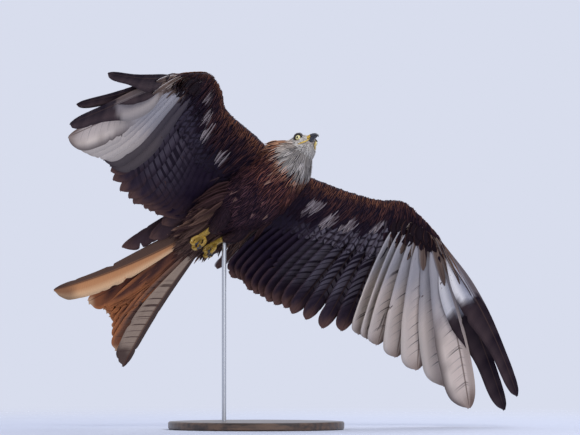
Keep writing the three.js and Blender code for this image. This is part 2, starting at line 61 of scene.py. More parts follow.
def unit(v):
    return v / np.maximum(np.linalg.norm(v, axis=-1, keepdims=True), 1e-9)


def spot(*parts):
    # coordinates side by side as points
    return np.stack(np.broadcast_arrays(*parts), -1)


def around(angle, a, b):
    # the place on a unit circle, from direction a towards direction b
    return np.cos(angle)[..., None] * a + np.sin(angle)[..., None] * b


def circle(count):
    return np.linspace(0, 2 * np.pi, count, endpoint=False)


def smooth(low, high, value):
    # 0 below low, 1 above high, an S curve between
    t = np.clip((value - low) / (high - low), 0, 1)
    return t * t * (3 - 2 * t)


def table(place, xs, *values):
    # straight lines between the values at the places xs
    return np.interp(place, xs, values)


def reader(rows):
    # smooth curve through the rows of a table whose first column is the place
    rows = np.array(rows, float)
    x, v = rows[:, 0], rows[:, 1:]
    slope = np.empty_like(v)
    slope[1:-1] = (v[2:] - v[:-2]) / (x[2:] - x[:-2])[:, None]
    slope[0], slope[-1] = (v[1] - v[0]) / (x[1] - x[0]), (v[-1] - v[-2]) / (x[-1] - x[-2])

    def at(place):
        place = np.asarray(place, float)
        i = np.clip(np.searchsorted(x, place, "right") - 1, 0, len(x) - 2)
        span = x[i + 1] - x[i]
        t = np.clip((place - x[i]) / span, 0, 1)[..., None]
        m1, m2 = slope[i] * span[..., None], slope[i + 1] * span[..., None]
        return ((2 * t**3 - 3 * t**2 + 1) * v[i] + (t**3 - 2 * t**2 + t) * m1
                + (3 * t**2 - 2 * t**3) * v[i + 1] + (t**3 - t**2) * m2)

    return at


def ripple(place, seed=0.0):
    # soft repeatable waves between -1 and 1, from three sines
    place = np.asarray(place, float)
    return (np.sin(place * 1.7 + seed) + np.sin(place * 3.1 + 1.3 * seed + 1)
            + np.sin(place * 5.3 + 2.1 * seed + 2)) / 3


def light(code):
    # a screen colour's six hex digits as linear light; numbers stay as they are
    if not isinstance(code, str):
        return code
    c = np.array([int(code[i:i + 2], 16) for i in (0, 2, 4)], float) / 255
    return np.where(c <= 0.04045, c / 12.92, ((c + 0.055) / 1.055) ** 2.4)


def paint(base, *coats):
    # colours laid over one another, each followed by the share of it that shows
    base = light(base)
    for over, share in zip(coats[::2], coats[1::2]):
        share = np.asarray(share, float)[..., None]
        base = base * (1 - share) + light(over) * share
    return base


# meshes


def dress(piece, slot, *nodes):
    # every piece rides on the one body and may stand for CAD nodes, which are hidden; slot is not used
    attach(piece, "root")
    if nodes:
        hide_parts(*nodes)


def addMesh(name, points, faces, material, attributes={}, maps={}, inBird=True):
    # one object at the origin with its place in its mesh; attributes and maps (UVs) have a row for each point
    mesh = bpy.data.meshes.new(name)
    spots = points.reshape(-1, 3)
    if inBird:
        spots = spots @ birdTurn.T / 1000 + bodySpot
    mesh.vertices.add(len(spots))
    mesh.vertices.foreach_set("co", spots.astype(np.float32).ravel())
    corners = np.concatenate([f.ravel() for f in faces]).astype(np.int32)
    sizes = np.concatenate([np.full(len(f), f.shape[1]) for f in faces])
    mesh.loops.add(len(corners))
    mesh.loops.foreach_set("vertex_index", corners)
    mesh.polygons.add(len(sizes))
    mesh.polygons.foreach_set("loop_start", (np.cumsum(sizes) - sizes).astype(np.int32))
    mesh.polygons.foreach_set("use_smooth", np.ones(len(sizes), bool))
    mesh.update(calc_edges=True)
    for key, values in maps.items():
        mesh.uv_layers.new(name=key).uv.foreach_set("vector", values.reshape(-1,
            2)[corners].astype(np.float32).ravel())
    for key, values in attributes.items():
        addAttribute(mesh, key, values)
    mesh.materials.append(material)
    made = bpy.data.objects.new(name, mesh)
    bpy.context.scene.collection.objects.link(made)
    return made


def addAttribute(mesh, key, values):
    # one number or one colour for each point
    if values.shape[-1] == 3:
        rows = np.clip(values.reshape(-1, 3), 0, 1)
        layer = mesh.attributes.new(key, "FLOAT_COLOR", "POINT")
        layer.data.foreach_set("color", np.hstack([rows, np.ones((len(rows), 1))]).astype(np.float32).ravel())
    else:
        mesh.attributes.new(key, "FLOAT", "POINT").data.foreach_set("value",
            values.astype(np.float32).ravel())


def gridFaces(rows, columns):
    # quads between neighbours of a grid of rows by columns that closes round
    i, j = np.meshgrid(np.arange(rows - 1), np.arange(columns), indexing="ij")
    k = (j + 1) % columns
    return spot(i * columns + j, i * columns + k, (i + 1) * columns + k, (i + 1) * columns + j).reshape(-1, 4)


def tubeFaces(rows, columns):
    # a tube's sides and its two end fans, whose centres are the last two points
    ring = np.arange(columns)
    after, middle, last = (ring + 1) % columns, rows * columns, (rows - 1) * columns
    return [gridFaces(rows, columns), np.concatenate([spot(after, ring, middle),
        spot(last + ring, last + after, middle + 1)])]


def closeTube(rings, ends=None):
    ends = [rings[0].mean(0), rings[-1].mean(0)] if ends is None else ends
    return np.concatenate([rings.reshape(-1, 3), ends])


def tubeAlong(path, radius, steps, count, squeeze=1.0):
    # a round section of radius(t) carried along a smooth curve through the path's points
    t = np.linspace(0, 1, steps)
    middle = reader(np.column_stack([np.linspace(0, 1, len(path)), path]))(t)
    along = unit(np.gradient(middle, axis=0))
    side = unit(np.cross(along, [0.1, 0.3, 1.0]))
    up = np.cross(side, along)
    ring = around(circle(count)[None], side[:, None], -squeeze * up[:, None])
    return middle[:, None] + radius(t)[:, None, None] * ring


print("frame loaded")

# the trunk and the head as surfaces

trunkAt = reader([  # place along the body: middle sideways and up, half width, height above, depth below
    [-168, 0, 8, 9, 7, 7], [-150, 0, 8, 20, 12, 13], [-120, 0, 6, 34, 23, 27], [-85, 0, 2, 46, 33, 40],
    [-40, 0, -2, 58, 42, 53], [10, 0, -2, 64, 47, 60], [52, -1, 1, 60, 46, 58], [84, -1, 5, 56, 44, 53],
    [108, 0, 8, 50, 39, 49], [118, -2, 8, 44, 33, 43], [128, -4, 8, 36, 27, 36], [138, -6, 8, 29, 22, 30],
    [148, -7, 8, 20, 15, 20],
])
headAt = reader([  # the same for the head, from nape to face
    [-30, 0, -4, 30.5, 24.5, 33], [-20, 0, -3, 31, 26.5, 33], [-6, 0, 0, 29, 26, 31],
    [8, 0, 1, 25.2, 22.3, 25.8],
    [18, 0, 0.5, 20, 17.3, 20], [26, 0, 0, 13.5, 11.2, 12.8], [30, 0, -0.5, 10.2, 8.5, 9],
])
headSpot, headTurn = np.array([142, -7, 10.0]), turn("z", -15) @ turn("y", 14)
headBumps = [  # swellings: place along and round the head, spread along and round, height
    [13, 0.66, 9, 0.2, 3.2], [13, 0.3, 6.5, 0.26, -2.6], [2, -0.4, 10, 0.5, 1.5], [23, 0.25, 4, 0.35, -1.0],
]
eye = dict(radius=6.4, forward=13, side=18.6, up=7.5)


def ringPoint(at, x, a, grow):
    # an ellipse with its own height above and depth below: a is 0 at the bird's left, 90 degrees at its back
    y, z, wide, above, below = np.moveaxis(at(x), -1, 0)
    high = np.where(np.sin(a) > 0, above, below)
    return spot(x + 0 * a, y + np.cos(a) * (wide + grow), z + np.sin(a) * (high + grow))


def trunkPoint(x, a, grow=0.0):
    return ringPoint(trunkAt, x, a, grow)


def onHead(points):
    return points @ headTurn.T + headSpot


def headLocal(x, a, grow=0.0):
    # the head's loft with brow, eye hollow, cheek and the dip in front of the eye, the same on both sides
    swell = 0
    for atX, atA, wideX, wideA, height in headBumps:
        along = -((x - atX) / wideX) ** 2
        near, far = (np.angle(np.exp(1j * (way - atA))) / wideA for way in (a, np.pi - a))
        swell = swell + height * (np.exp(along - near ** 2) + np.exp(along - far ** 2))
    return ringPoint(headAt, x, a, grow + swell)


# the wing as a sheet: s runs along the span (1 elbow, 2 wrist, 3 fingertip), d back from its front in mm

leadingEdges = {  # place, forward, outward, up, chord, thickness
    1: [
        [0, 88, 36, 18, 128, 34], [0.4, 100, 98, 20, 118, 26], [1, 116, 179, 30, 98, 19],
        [1.5, 134, 237, 36, 82, 16],
        [2, 159, 287, 44, 62, 14], [2.35, 163, 327, 27, 44, 10], [3, 156, 388, 4, 16, 5],
    ],
    -1: [
        [0, 88, 36, 18, 128, 34], [0.4, 98, 98, 19, 118, 26], [1, 104, 187, 28, 98, 19],
        [1.5, 133, 234, 31, 82, 16],
        [2, 149, 280, 27, 62, 14], [2.35, 151, 325, -4, 44, 10], [3, 132, 392, -48, 16, 5],
    ],
}
featherTips = {  # place, reach from the wrist, sweep back, droop, sag and forward swing as shares of length
    1: [
        [0.1, 396, 118.5, 4, -0.01, 0.01], [0.4, 385, 123, 12, -0.015, 0.01],
        [1.5, 318, 104, 22, -0.02, 0.01],
        [1.95, 291, 74, 21, -0.02, 0.01], [2.06, 288, 66, 20, -0.02, 0.01],
        [2.25, 312, 56, 16.5, -0.02, 0.015],
        [2.35, 343, 47.7, 15.6, -0.02, 0.015], [2.44, 375, 41, 15.4, -0.02, 0.015],
        [2.54, 425, 33, 15.9, -0.02, 0.015],
        [2.63, 470, 28.4, 20, -0.02, 0.015], [2.73, 500, 19.6, 20.7, -0.02, 0.015],
        [2.82, 475, 14.1, 24.8, -0.025, 0.035], [2.92, 405, 11.9, 19.6, -0.03, 0.085],
    ],
    -1: [
        [0.1, 400, 116, 1, -0.01, 0.01], [0.4, 384, 123, 1.8, -0.015, 0.01],
        [1.5, 323, 104, 14.5, -0.02, 0.01],
        [1.95, 292, 73.7, 32.5, -0.02, 0.01], [2.06, 288, 70.4, 33, -0.015, 0.01],
        [2.25, 318, 52.7, 38.4, -0.01, 0.01],
        [2.35, 350, 45, 39.8, 0, 0.01], [2.44, 380, 38.7, 40.9, 0.01, 0.01],
        [2.54, 428, 30.2, 42.7, 0.02, 0.01],
        [2.63, 473, 24.5, 43.1, 0.025, 0.01], [2.73, 500, 17, 43, 0.025, 0.01],
        [2.82, 475, 13.5, 40.5, 0.035, 0], [2.92, 405, 2.5, 37.9, 0.06, -0.01],
    ],
}
looseFeathers = {  # inner feathers by the body: root, then tip
    1: [[[-25, 74, 14], [-202, 98, 24]], [[-12, 92, 14], [-184, 124, 14]]],
    -1: [[[-42, -58, 14], [-297, -85, 34]], [[-34, -68, 14], [-235, -69, 25]],
         [[-26, -80, 14], [-191, -78, 18]]],
}
coreProfile = reader([[0, 0.02, 0.02], [0.06, 0.32, 0.28], [0.28, 0.5, 0.42], [0.65, 0.34, 0.3],
                      [1, 0.07, 0.07], [1.3, 0.05, 0.05]])


class Wing:
    def __init__(self, side):
        self.side = side
        rows = np.array(leadingEdges[side], float)
        rows[:, 2] *= side
        self.edge, self.tips = reader(rows), reader(featherTips[side])
        self.wrist = np.array([149, 290 * side, 38.0])

    def tip(self, s):
        reach, sweep, droop = np.moveaxis(self.tips(s)[..., :3], -1, 0)
        sweep, droop = np.radians(sweep), np.radians(droop)
        level = reach * np.cos(droop)
        return self.wrist + spot(-level * np.sin(sweep), self.side * level * np.cos(sweep),
                                 -reach * np.sin(droop))

    def chord(self, s):
        return unit(self.tip(np.clip(s, 0.4, 2.92)) - self.edge(s)[..., :3])

    def root(self, s, share):
        edge = self.edge(s)
        return edge[..., :3] + self.chord(s) * share * edge[..., 3:4]

    def across(self, s):
        # outward along the span, read nearer the roots by the body, where the tips swing in
        t = (0.2 + 0.4 * smooth(0.35, 0.8, np.asarray(s)))[..., None]
        point = lambda u: self.root(u, 0.6) * (1 - t) + self.tip(u) * t
        return unit(point(s + 0.06) - point(s - 0.06))

    def back(self, s):
        return unit(self.side * np.cross(self.across(s), self.chord(s)))

    def sheet(self, s, d, face, lift=0.0):
        # the wing's skin on one face (1 back, -1 belly), which runs on over the flight feathers behind it
        edge = self.edge(s)
        deep, thick = edge[..., 3], edge[..., 4]
        half = coreProfile(d / deep)[..., 0 if face > 0 else 1] * thick
        reach = np.linalg.norm(self.tip(np.clip(s, 0.1, 2.92)) - self.root(s, 0.5), axis=-1)
        t = np.clip((d - deep * 0.5) / reach, 0, 1)
        sag = 4 * self.tips(s)[..., 3] * reach * (t * t - t)
        rise = face * (half + lift) + sag
        return edge[..., :3] + self.chord(s) * d[..., None] + self.back(s) * rise[..., None]


wings = {side: Wing(side) for side in sides}
print("shapes ready")

# camera and lights

view = dict(place=(0.069, -20.0, 0.4324), lens=608, sensor=36, clip=200)
studioSky = "d8dded"
lamps = [  # name, place, height aimed at, width, watts, colour
    ("key", (0.7, -2.4, 3.0), 0.45, 1.4, 46, (1.0, 0.97, 0.92)),
    ("front", (1.4, -3.4, 0.8), 0.45, 2.6, 16, (1.0, 0.98, 0.96)),
    ("rim", (1.2, 2.6, 2.2), 0.5, 2.0, 34, (0.95, 0.97, 1.0)),
]


def addToScene(name, data, place, rotation):
    made = bpy.data.objects.new(name, data)
    made.location, made.rotation_euler = place, rotation
    bpy.context.scene.collection.objects.link(made)
    return made


cameraData = bpy.data.cameras.new("camera")
cameraData.lens, cameraData.sensor_width, cameraData.clip_end = view["lens"], view["sensor"], view["clip"]
bpy.context.scene.camera = addToScene("camera", cameraData, view["place"], (math.pi / 2, 0, 0))
bpy.context.scene.view_settings.view_transform = "Standard"
bpy.context.scene.world = world = bpy.data.worlds.new("studio")
world.use_nodes = True
world.node_tree.nodes["Background"].inputs[0].default_value = (*light(studioSky), 1)
for name, place, aimHeight, width, watts, glow in lamps:
    data = bpy.data.lights.new(name, "AREA")
    data.shape, data.size, data.energy, data.color = "DISK", width, watts, glow
    x, y, z = place
    addToScene(name, data, place, (math.atan2(math.hypot(x, y), z - aimHeight), 0,
                                   math.atan2(y, x) + math.pi / 2))

# shader nodes by short calls, where a value may be a link, a number or a colour


class Shader:
    def __init__(self, tree):
        self.tree = tree

    def put(self, socket, value):
        if isinstance(value, bpy.types.NodeSocket):
            self.tree.links.new(value, socket)
        elif socket.type == "RGBA":
            socket.default_value = (*light(value), 1)
        else:
            socket.default_value = value

    def add(self, kind, *values, **named):
        # a node with values for its first sockets, and settings and further sockets by name
        node = self.tree.nodes.new("ShaderNode" + kind)
        for key, value in named.items():
            if key not in node.inputs:
                setattr(node, key, value)
        given = [(node.inputs[key], value) for key, value in named.items() if key in node.inputs]
        for socket, value in [*zip(node.inputs, values), *given]:
            self.put(socket, value)
        return node

    def calc(self, operation, *values, clamp=False):
        return self.add("Math", *values, operation=operation, use_clamp=clamp).outputs[0]

    def between(self, value, low, high, toLow=0.0, toHigh=1.0):
        # low to high becomes toLow to toHigh along an S curve
        return self.add("MapRange", value, low, high, toLow, toHigh,
                        interpolation_type="SMOOTHSTEP").outputs[0]

    def mixed(self, share, a, b):
        node = self.add("Mix", share, data_type="RGBA")
        self.put(node.inputs[6], a)
        self.put(node.inputs[7], b)
        return node.outputs[2]

    def noise(self, scale, detail=2.0, roughness=0.5, stretch=None):
        # noise over the piece's own place, which may be stretched
        place = self.place()
        if stretch:
            place = self.add("Mapping", place, Scale=stretch).outputs[0]
        return self.add("TexNoise", Vector=place, Scale=scale, Detail=detail, Roughness=roughness).outputs[0]

    def lineNoise(self, w, scale, detail, roughness=0.5):
        return self.add("TexNoise", noise_dimensions="1D", W=w, Scale=scale, Detail=detail,
                        Roughness=roughness).outputs[0]

    def attribute(self, name, output="Fac"):
        return self.add("Attribute", attribute_name=name).outputs[output]

    def place(self):
        return self.add("TexCoord").outputs["Object"]


class Material(Shader):
    # a Principled material; plain values sit on its own sockets
    def __init__(self, name, **fixed):
        self.made = bpy.data.materials.new(name)
        self.made.use_nodes = True
        super().__init__(self.made.node_tree)
        self.set(**fixed)

    def set(self, **given):
        for key, value in given.items():
            self.put(self.tree.nodes["Principled BSDF"].inputs[key.replace("_", " ")], value)

    def bump(self, height, distance, strength):
        self.set(Normal=self.add("Bump", Height=height, Distance=distance, Strength=strength).outputs[0])


def grained(name, grain, tones, shades, gloss, depth, strength, stretch=None, **fixed):
    # a material of two shades mixed by noise, with gloss and bump from the same noise
    m = Material(name, **fixed)
    noise = m.noise(*grain, stretch=stretch)
    m.set(Base_Color=m.mixed(m.between(noise, *tones) if tones else noise, *shades))
    if gloss:
        m.set(Roughness=m.between(noise, *gloss))
    m.bump(noise, depth, strength)
    return m.made


floor = dict(radius=3.0, rings=24, count=96, fadeFrom=0.35, fadeTo=2.6, under=-0.0004, hole=0.002)
m = Material("paleFloor", Roughness=0.9)
away = m.add("VectorMath", m.place(), operation="LENGTH").outputs["Value"]
m.set(Alpha=m.between(away, floor["fadeFrom"], floor["fadeTo"], 1.0, 0.0),
      Base_Color=m.mixed(m.noise(9.0), "c6cbdb", "ccd1e0"))
away, way = np.linspace(floor["hole"], floor["radius"], floor["rings"])[:, None], circle(floor["count"])[None]
disc = spot(away * np.cos(way), away * np.sin(way), floor["under"])
addMesh("floor", disc, [gridFaces(floor["rings"], floor["count"])], m.made, inBird=False)

print("camera, floor and lights set")

# materials of the feathers

kinds = dict(Ground="Color", Mark="Color", Shaft="Color", Along="Float", Across="Float", Bars="Float",
             Pitch="Float", Thin="Float", Streak="Float", Seed="Float")
featherGroup = bpy.data.node_groups.new("featherVane", "ShaderNodeTree")
for key, kind in kinds.items():
    featherGroup.interface.new_socket(key, in_out="INPUT", socket_type="NodeSocket" + kind)
for key, kind in dict(Colour="Color", Height="Float", Gloss="Float").items():
    featherGroup.interface.new_socket(key, in_out="OUTPUT", socket_type="NodeSocket" + kind)
out = featherGroup.nodes.new("NodeGroupOutput").inputs
given = featherGroup.nodes.new("NodeGroupInput").outputs
ground, mark, shaft, along, across, bars, pitch, thin, streak, seed = [given[key] for key in kinds]
v = Shader(featherGroup)
plus = lambda a, b: v.calc("ADD", a, b)
times = lambda a, b, clamp=False: v.calc("MULTIPLY", a, b, clamp=clamp)
side = v.calc("ABSOLUTE", across)
wobble = v.lineNoise(plus(along, seed), 0.12, 2.0)
barWave = v.calc("PINGPONG", plus(v.calc("DIVIDE", along, pitch), times(wobble, 0.9)),
                 0.5)  # 0 to 0.5 and back, once a bar
barShare = times(v.between(barWave, thin, v.calc("MULTIPLY_ADD", thin, 1.3, 0.03), 1.0, 0.0), bars,
                 clamp=True)
barbs = v.lineNoise(plus(plus(along, times(across, 3.0)), times(seed, 3.0)), 0.9, 3.0, 0.7)
fleck = v.between(barbs, 0.25, 0.75, -0.16, 0.16)
streakWide = v.calc("MULTIPLY_ADD", streak, 0.75, -0.2)
streakHere = v.between(plus(side, times(fleck, 0.7)), streakWide, plus(streakWide, 0.38), 1.0, 0.0)
streakShare = times(streakHere, times(streak, 1.6, clamp=True), clamp=True)
marked = v.mixed(v.calc("MAXIMUM", barShare, streakShare), ground, mark)
shaded = v.add("HueSaturation", Color=marked, Value=plus(1.0, fleck)).outputs[0]
shaftHere = v.between(side, 0.02, 0.075, 1.0, 0.0)
v.put(out["Colour"], v.mixed(times(shaftHere, 0.75), shaded, shaft))
v.put(out["Height"], plus(times(barbs, 0.6), shaftHere))
v.put(out["Gloss"], v.between(barbs, 0.2, 0.8, 0.42, 0.66))


def featherMaterial(name, pitch, thin=0.1, streaked=False):
    # vanes read their colours from attributes and their place along and across from featherUV
    m = Material(name, Specular_IOR_Level=0.05)
    along, across, _ = m.add("SeparateXYZ", m.add("UVMap", uv_map="featherUV").outputs[0]).outputs
    pattern = m.attribute("pattern")
    node = m.add(
        "Group", node_tree=featherGroup, Ground=m.attribute("ground", "Color"),
        Mark=m.attribute("mark", "Color"),
        Shaft=m.attribute("shaft", "Color"), Along=m.calc("MULTIPLY", along, m.attribute("length")),
        Across=m.calc("MULTIPLY_ADD", across, 2.0, -1.0), Pitch=pitch, Thin=thin, Seed=m.attribute("seed"),
        Bars=0.0 if streaked else pattern, Streak=pattern if streaked else 0.0).outputs
    m.set(Base_Color=node["Colour"], Roughness=node["Gloss"])
    m.bump(node["Height"], 0.0006, 0.5)
    return m.made


vaneMaterial = featherMaterial("primaryVane", 21.0, 0.02)
checkMaterial = featherMaterial("secondaryVane", 15.0, 0.12)
tailMaterial = featherMaterial("tailVane", 17.0, 0.05)
plumeMaterial = featherMaterial("bodyPlume", 20.0, streaked=True)

print("feather materials made")

# feathers: each is a closed thin vane over a grid of barbs (along) by places across, top then underside

outlines = {  # share of length, width ahead of the shaft, width behind it in mm
    "finger": [[0, 2, 3], [0.12, 5, 10], [0.3, 11, 31], [0.5, 12, 35], [0.62, 10.5, 27], [0.74, 9, 21],
               [0.9, 8, 18], [0.97, 5.5, 12], [1, 1, 3]],
    "broad": [[0, 2, 3], [0.1, 8, 12], [0.22, 12, 24], [0.6, 18, 43], [0.84, 19, 42], [0.92, 16, 36],
              [0.965, 11, 25], [0.99, 6, 13], [1, 2, 4]],
    "tail": [[0, 2, 2], [0.25, 10, 17], [0.6, 14, 30], [0.92, 13, 28], [0.98, 8, 20], [1, 3, 7]],
    "outerTailleft": [[0, 2, 3], [0.25, 7, 15], [0.6, 9, 31], [0.92, 8, 27], [0.98, 4, 15], [1, 1, 3]],
    "outerTailright": [[0, 8, 3], [0.2, 20, 13], [0.4, 19, 22], [0.65, 12, 31], [0.92, 8, 27], [0.98, 4, 15],
                       [1, 1, 3]],
    "alula": [[0, 3, 3], [0.4, 6, 11], [0.8, 5, 9], [1, 1.5, 2]],
    "covert": [[0, 0.25, 0.25], [0.2, 0.7, 0.8], [0.55, 1, 1.1], [0.85, 0.8, 0.85], [0.96, 0.42, 0.45],
               [1, 0.1, 0.1]],
    "lance": [[0, 0.4, 0.4], [0.3, 1, 1], [0.6, 0.8, 0.8], [0.85, 0.42, 0.42], [1, 0.05, 0.05]],
}


def columnsOf(count):
    # places across a vane from behind (-1) to ahead (1), closer at the shaft
    q = np.linspace(-1, 1, count)
    return np.sign(q) * np.abs(q) ** 1.35


def rowT(rows):
    return 1 - (1 - np.linspace(0, 1, rows)) ** 1.25


def squareTo(b, a):
    # the part of a that is square to the unit vectors b
    return unit(a - (a * b).sum(-1, keepdims=True) * b)


def vaneSet(root, tip, lead, up, outline, width, rows, count, bow=0.0, sabre=0.0, cup=0.05, ridge=0.5,
            thick=0.35, splits=0.0, curl=0.0, twist=0.0):
    # points (feathers, rows, 2*count, 3): the shaft's curve root to tip with sag bow and forward swing sabre,
    # plus lead times the width and up times the camber, the ridge of the shaft and half the thickness
    n, slant = len(root), 0.55
    each = lambda v: np.broadcast_to(np.asarray(v, float), (n,))[:, None, None]
    q, t = columnsOf(count)[None, None], rowT(rows)[None, :, None]
    long = np.linalg.norm(tip - root, axis=-1)[:, None, None]
    along = unit(tip - root)
    lead = squareTo(along, lead)
    over = np.cross(along, lead)
    up = (over * np.sign((over * up).sum(-1, keepdims=True)))[:, None, None]
    along, lead, root, tip = (v[:, None, None] for v in (along, lead, root, tip))
    shape, wide = reader(outlines[outline]), np.zeros((n, rows, count))
    for _ in range(8):  # barbs slope to the tip, so the width is read where each barb ends
        w = shape(np.clip(t + slant * wide / long, 0, 1))
        wide = 0.5 * (wide + np.where(q > 0, w[..., 0], w[..., 1]) * np.abs(q) * each(width))
    for side in (-1, 1) if splits else ():
        for _ in range(4):
            at, deep = draw.uniform(0.35, 1.0, n), draw.uniform(0, 1, n) ** 3 * splits
            cut = each(deep) * np.exp(-np.abs(t - each(at)) / 0.008) * np.clip(np.abs(q) * 2 - 0.9, 0, 1)
            wide = wide * (1 - cut * (np.sign(q) == side))
    w = wide * np.sign(q)
    lift = (-each(cup) * w * w / np.maximum(each(width) * 20, 4) + each(curl) * t ** 3 * long
            + np.sin(each(twist)) * w * t)
    part, reach = t[..., None], long[..., None]
    sheet = (root * (1 - part) + tip * part + up * (4 * each(bow)[..., None] * (part * part - part) * reach)
             + lead * (4 * each(sabre)[..., None] * (part - part * part) * reach)
             + along * (slant * wide)[..., None] + lead * w[..., None] + up * lift[..., None])
    rise = (each(ridge) * (1 - 0.75 * t) * np.exp(-(w / 1.6) ** 2)
            + thick * (0.25 + 0.75 * np.clip(1 - np.abs(q), 0, 1)) * (1 - 0.5 * t))
    rise = up * rise[..., None]
    return np.concatenate([sheet + rise, (sheet - rise)[:, :, ::-1]], 2)


def vaneFaces(n, rows, ring):
    # sides of every ring, and each end closed across the ring
    j = np.arange(ring // 2 - 1)
    start = spot(j, j + 1, ring - 2 - j, ring - 1 - j)
    one = np.concatenate([gridFaces(rows, ring)[:, ::-1], start, (rows - 1) * ring + start[:, ::-1]])
    return (one[None] + (np.arange(n) * rows * ring)[:, None, None]).reshape(-1, 4)


def vaneGrid(k, rows, count):
    # share along, place across, face and feather number over every point of a set of vanes
    t = np.broadcast_to(rowT(rows)[None, :, None], (len(k), rows, 2 * count))
    q = columnsOf(count)
    face = np.repeat([1.0, -1.0], count)
    return t, np.concatenate([q, q[::-1]]) + 0 * t, face + 0 * t, k[:, None, None] + 0 * t


def addVanes(name, points, ground, mark, shaft, pattern, length, material, slot, patch=None):
    # ground, mark and shaft are colours, pattern and length numbers: one for the set, per feather or per point.
    # featherUV holds the places along and across; OFBake gives each vane its own strip or, where patch gives
    # the root's place on the skin's unwrap, a patch 0.003 across there
    n, rows, ring = points.shape[:3]

    def fill(value, *last):
        value = np.asarray(light(value), float)
        value = value[:, None, None] if value.ndim == 1 + len(last) else value
        return np.broadcast_to(value, (n, rows, ring, *last))

    t, q, _, k = vaneGrid(np.arange(n), rows, ring // 2)
    turned = np.arange(ring) / (ring - 1) + 0 * t
    if patch is None:
        bake = spot((k + 0.04 + 0.92 * turned) / n, 0.01 + 0.98 * t)
    else:
        bake = np.clip(patch[:, None, None] + 0.003 * (spot(turned, t) - 0.5), 0.0005, 0.9995)
    piece = addMesh(name, points, [vaneFaces(n, rows, ring)], material, dict(
        ground=fill(ground, 3), mark=fill(mark, 3), shaft=fill(shaft, 3), pattern=fill(pattern),
        length=fill(length),
        seed=fill(draw.uniform(0, 40, n))), dict(featherUV=spot(t, (q + 1) / 2), OFBake=bake))
    dress(piece, slot)


# flight feathers

flight = dict(rows=54, columns=9, lean=math.radians(9.0), primaries=np.linspace(2.06, 2.92, 10),
              secondaries=np.linspace(0.46, 1.94, 13), uneven=5)
alula = dict(feathers=3, rows=24, columns=7, rootAt=2.14, tipAt=2.52)
grid = (flight["rows"], flight["columns"])
black, purple, brown, darkHorn = "261d24", "241b2a", "543a30", "463632"
rufous, white = "966042", "e2dede"


def twoFaces(face, under, over, bars, faint=0.4):
    # the under colour below and the over colour above, where bars are fainter
    return np.where((face < 0)[..., None], under, over), bars * np.where(face < 0, 1, faint)


def primaryColours(side, k):
    # underside: inner ones beige, bluer at the base, with short dashes by the shaft and brownish tips; the
    # fingers white at the base and on part of the inner web, then black brown. Upper side dark brown
    t, q, face, k = vaneGrid(k, *grid)
    left, wave, finger = side > 0, 0.03 * ripple(t * 9 + k * 2.3 + q), smooth(6.2, 6.9, k)
    deep = np.select([k > 8.5, k > 7.5, k > 6.5], [0.34, 0.38, 0.44] if left else [0.0, 0.05, 0.6], 0.8)
    base = paint(
        "a09ca0", "d4c3b8" if left else "c8bab2", smooth(0.3, 0.62, t + wave),
        "cec4ba", 0.6 * smooth(0.45, 0.9, -q) * smooth(0.4, 0.7, t),
        "7a675e", np.clip(smooth(0.84, 1.0, t + 0.5 * wave) * 0.75 + smooth(0.1, 0.5, q) * 0.45, 0, 1),
        "5c4e4c", smooth(5.4, 5.9, k) * smooth(0.35, 0.55, t) * smooth(-0.62, -0.86, q + 4 * wave) * 0.8,
        "342b34", 0.9 * smooth(2.3, 1.3, k) * (not left))
    pale = paint(white, "a8a8b2", smooth(-0.85, -0.35, q), "5c5050", smooth(0.0, 0.2, q) * 0.9,
                 "60504a", np.clip(smooth(0.2, 0.1, t + wave) * 0.8 + 0.7 * (not left), 0, 1))
    dark = paint(black, "4a3c3e", 0.55 * smooth(0.1, -0.9, q) + 0.25 * ripple(t * 14 + k))
    pale = paint(pale, dark, smooth(deep - 0.025, deep + 0.02, t + 1.4 * wave - 0.05 * q))
    over = paint(brown, black, 0.35 + 0.6 * smooth(0.2, 0.75, t),
                 "969092", 0.3 * smooth(0.05, 0.3, -q) * (1 - smooth(0.1, 0.5, t)))
    bars = ((1 - finger) * smooth(0.3, 0.4, t) * smooth(0.92, 0.82, t)
            * smooth(0.5, 0.2, np.abs(q + 0.1)) * 0.85)
    return twoFaces(face, paint(base, pale, finger), over, bars)


def secondaryColours(side, k, last):
    # underside purplish black with brown tips, the outer ones with rows of grey checks along both webs
    t, q, face, k = vaneGrid(k, *grid)
    wave, outer, web = ripple(t * 11 + k * 3.1 + q * 2), smooth(last - 8.5, last - 3, k), np.abs(q)
    checks = outer * smooth(0.8, 0.62, t + 0.05 * wave) * smooth(0.06, 0.2, web) * smooth(1.0, 0.86, web)
    tips = smooth(0.84, 0.98, t + 0.03 * wave) * 0.75 + smooth(0.7, 1.0, web) * smooth(0.55, 0.95, t) * 0.4
    under = paint(purple, "3a303a", 0.5 * outer + 0.3 * wave, "645e68",
                  np.clip(checks * (0.8 if side > 0 else 0.34), 0, 1), "684c44", np.clip(tips, 0, 0.85))
    over = paint("3e343a", brown, 0.35, rufous, np.clip(tips, 0, 0.5))
    return twoFaces(face, under, over, (0.1 + 0.9 * outer) * smooth(0.2, 0.3, t) * smooth(0.86, 0.7, t))


def lengths(root, tip):
    # from each root to its tip
    return np.linalg.norm(tip - root, axis=-1)


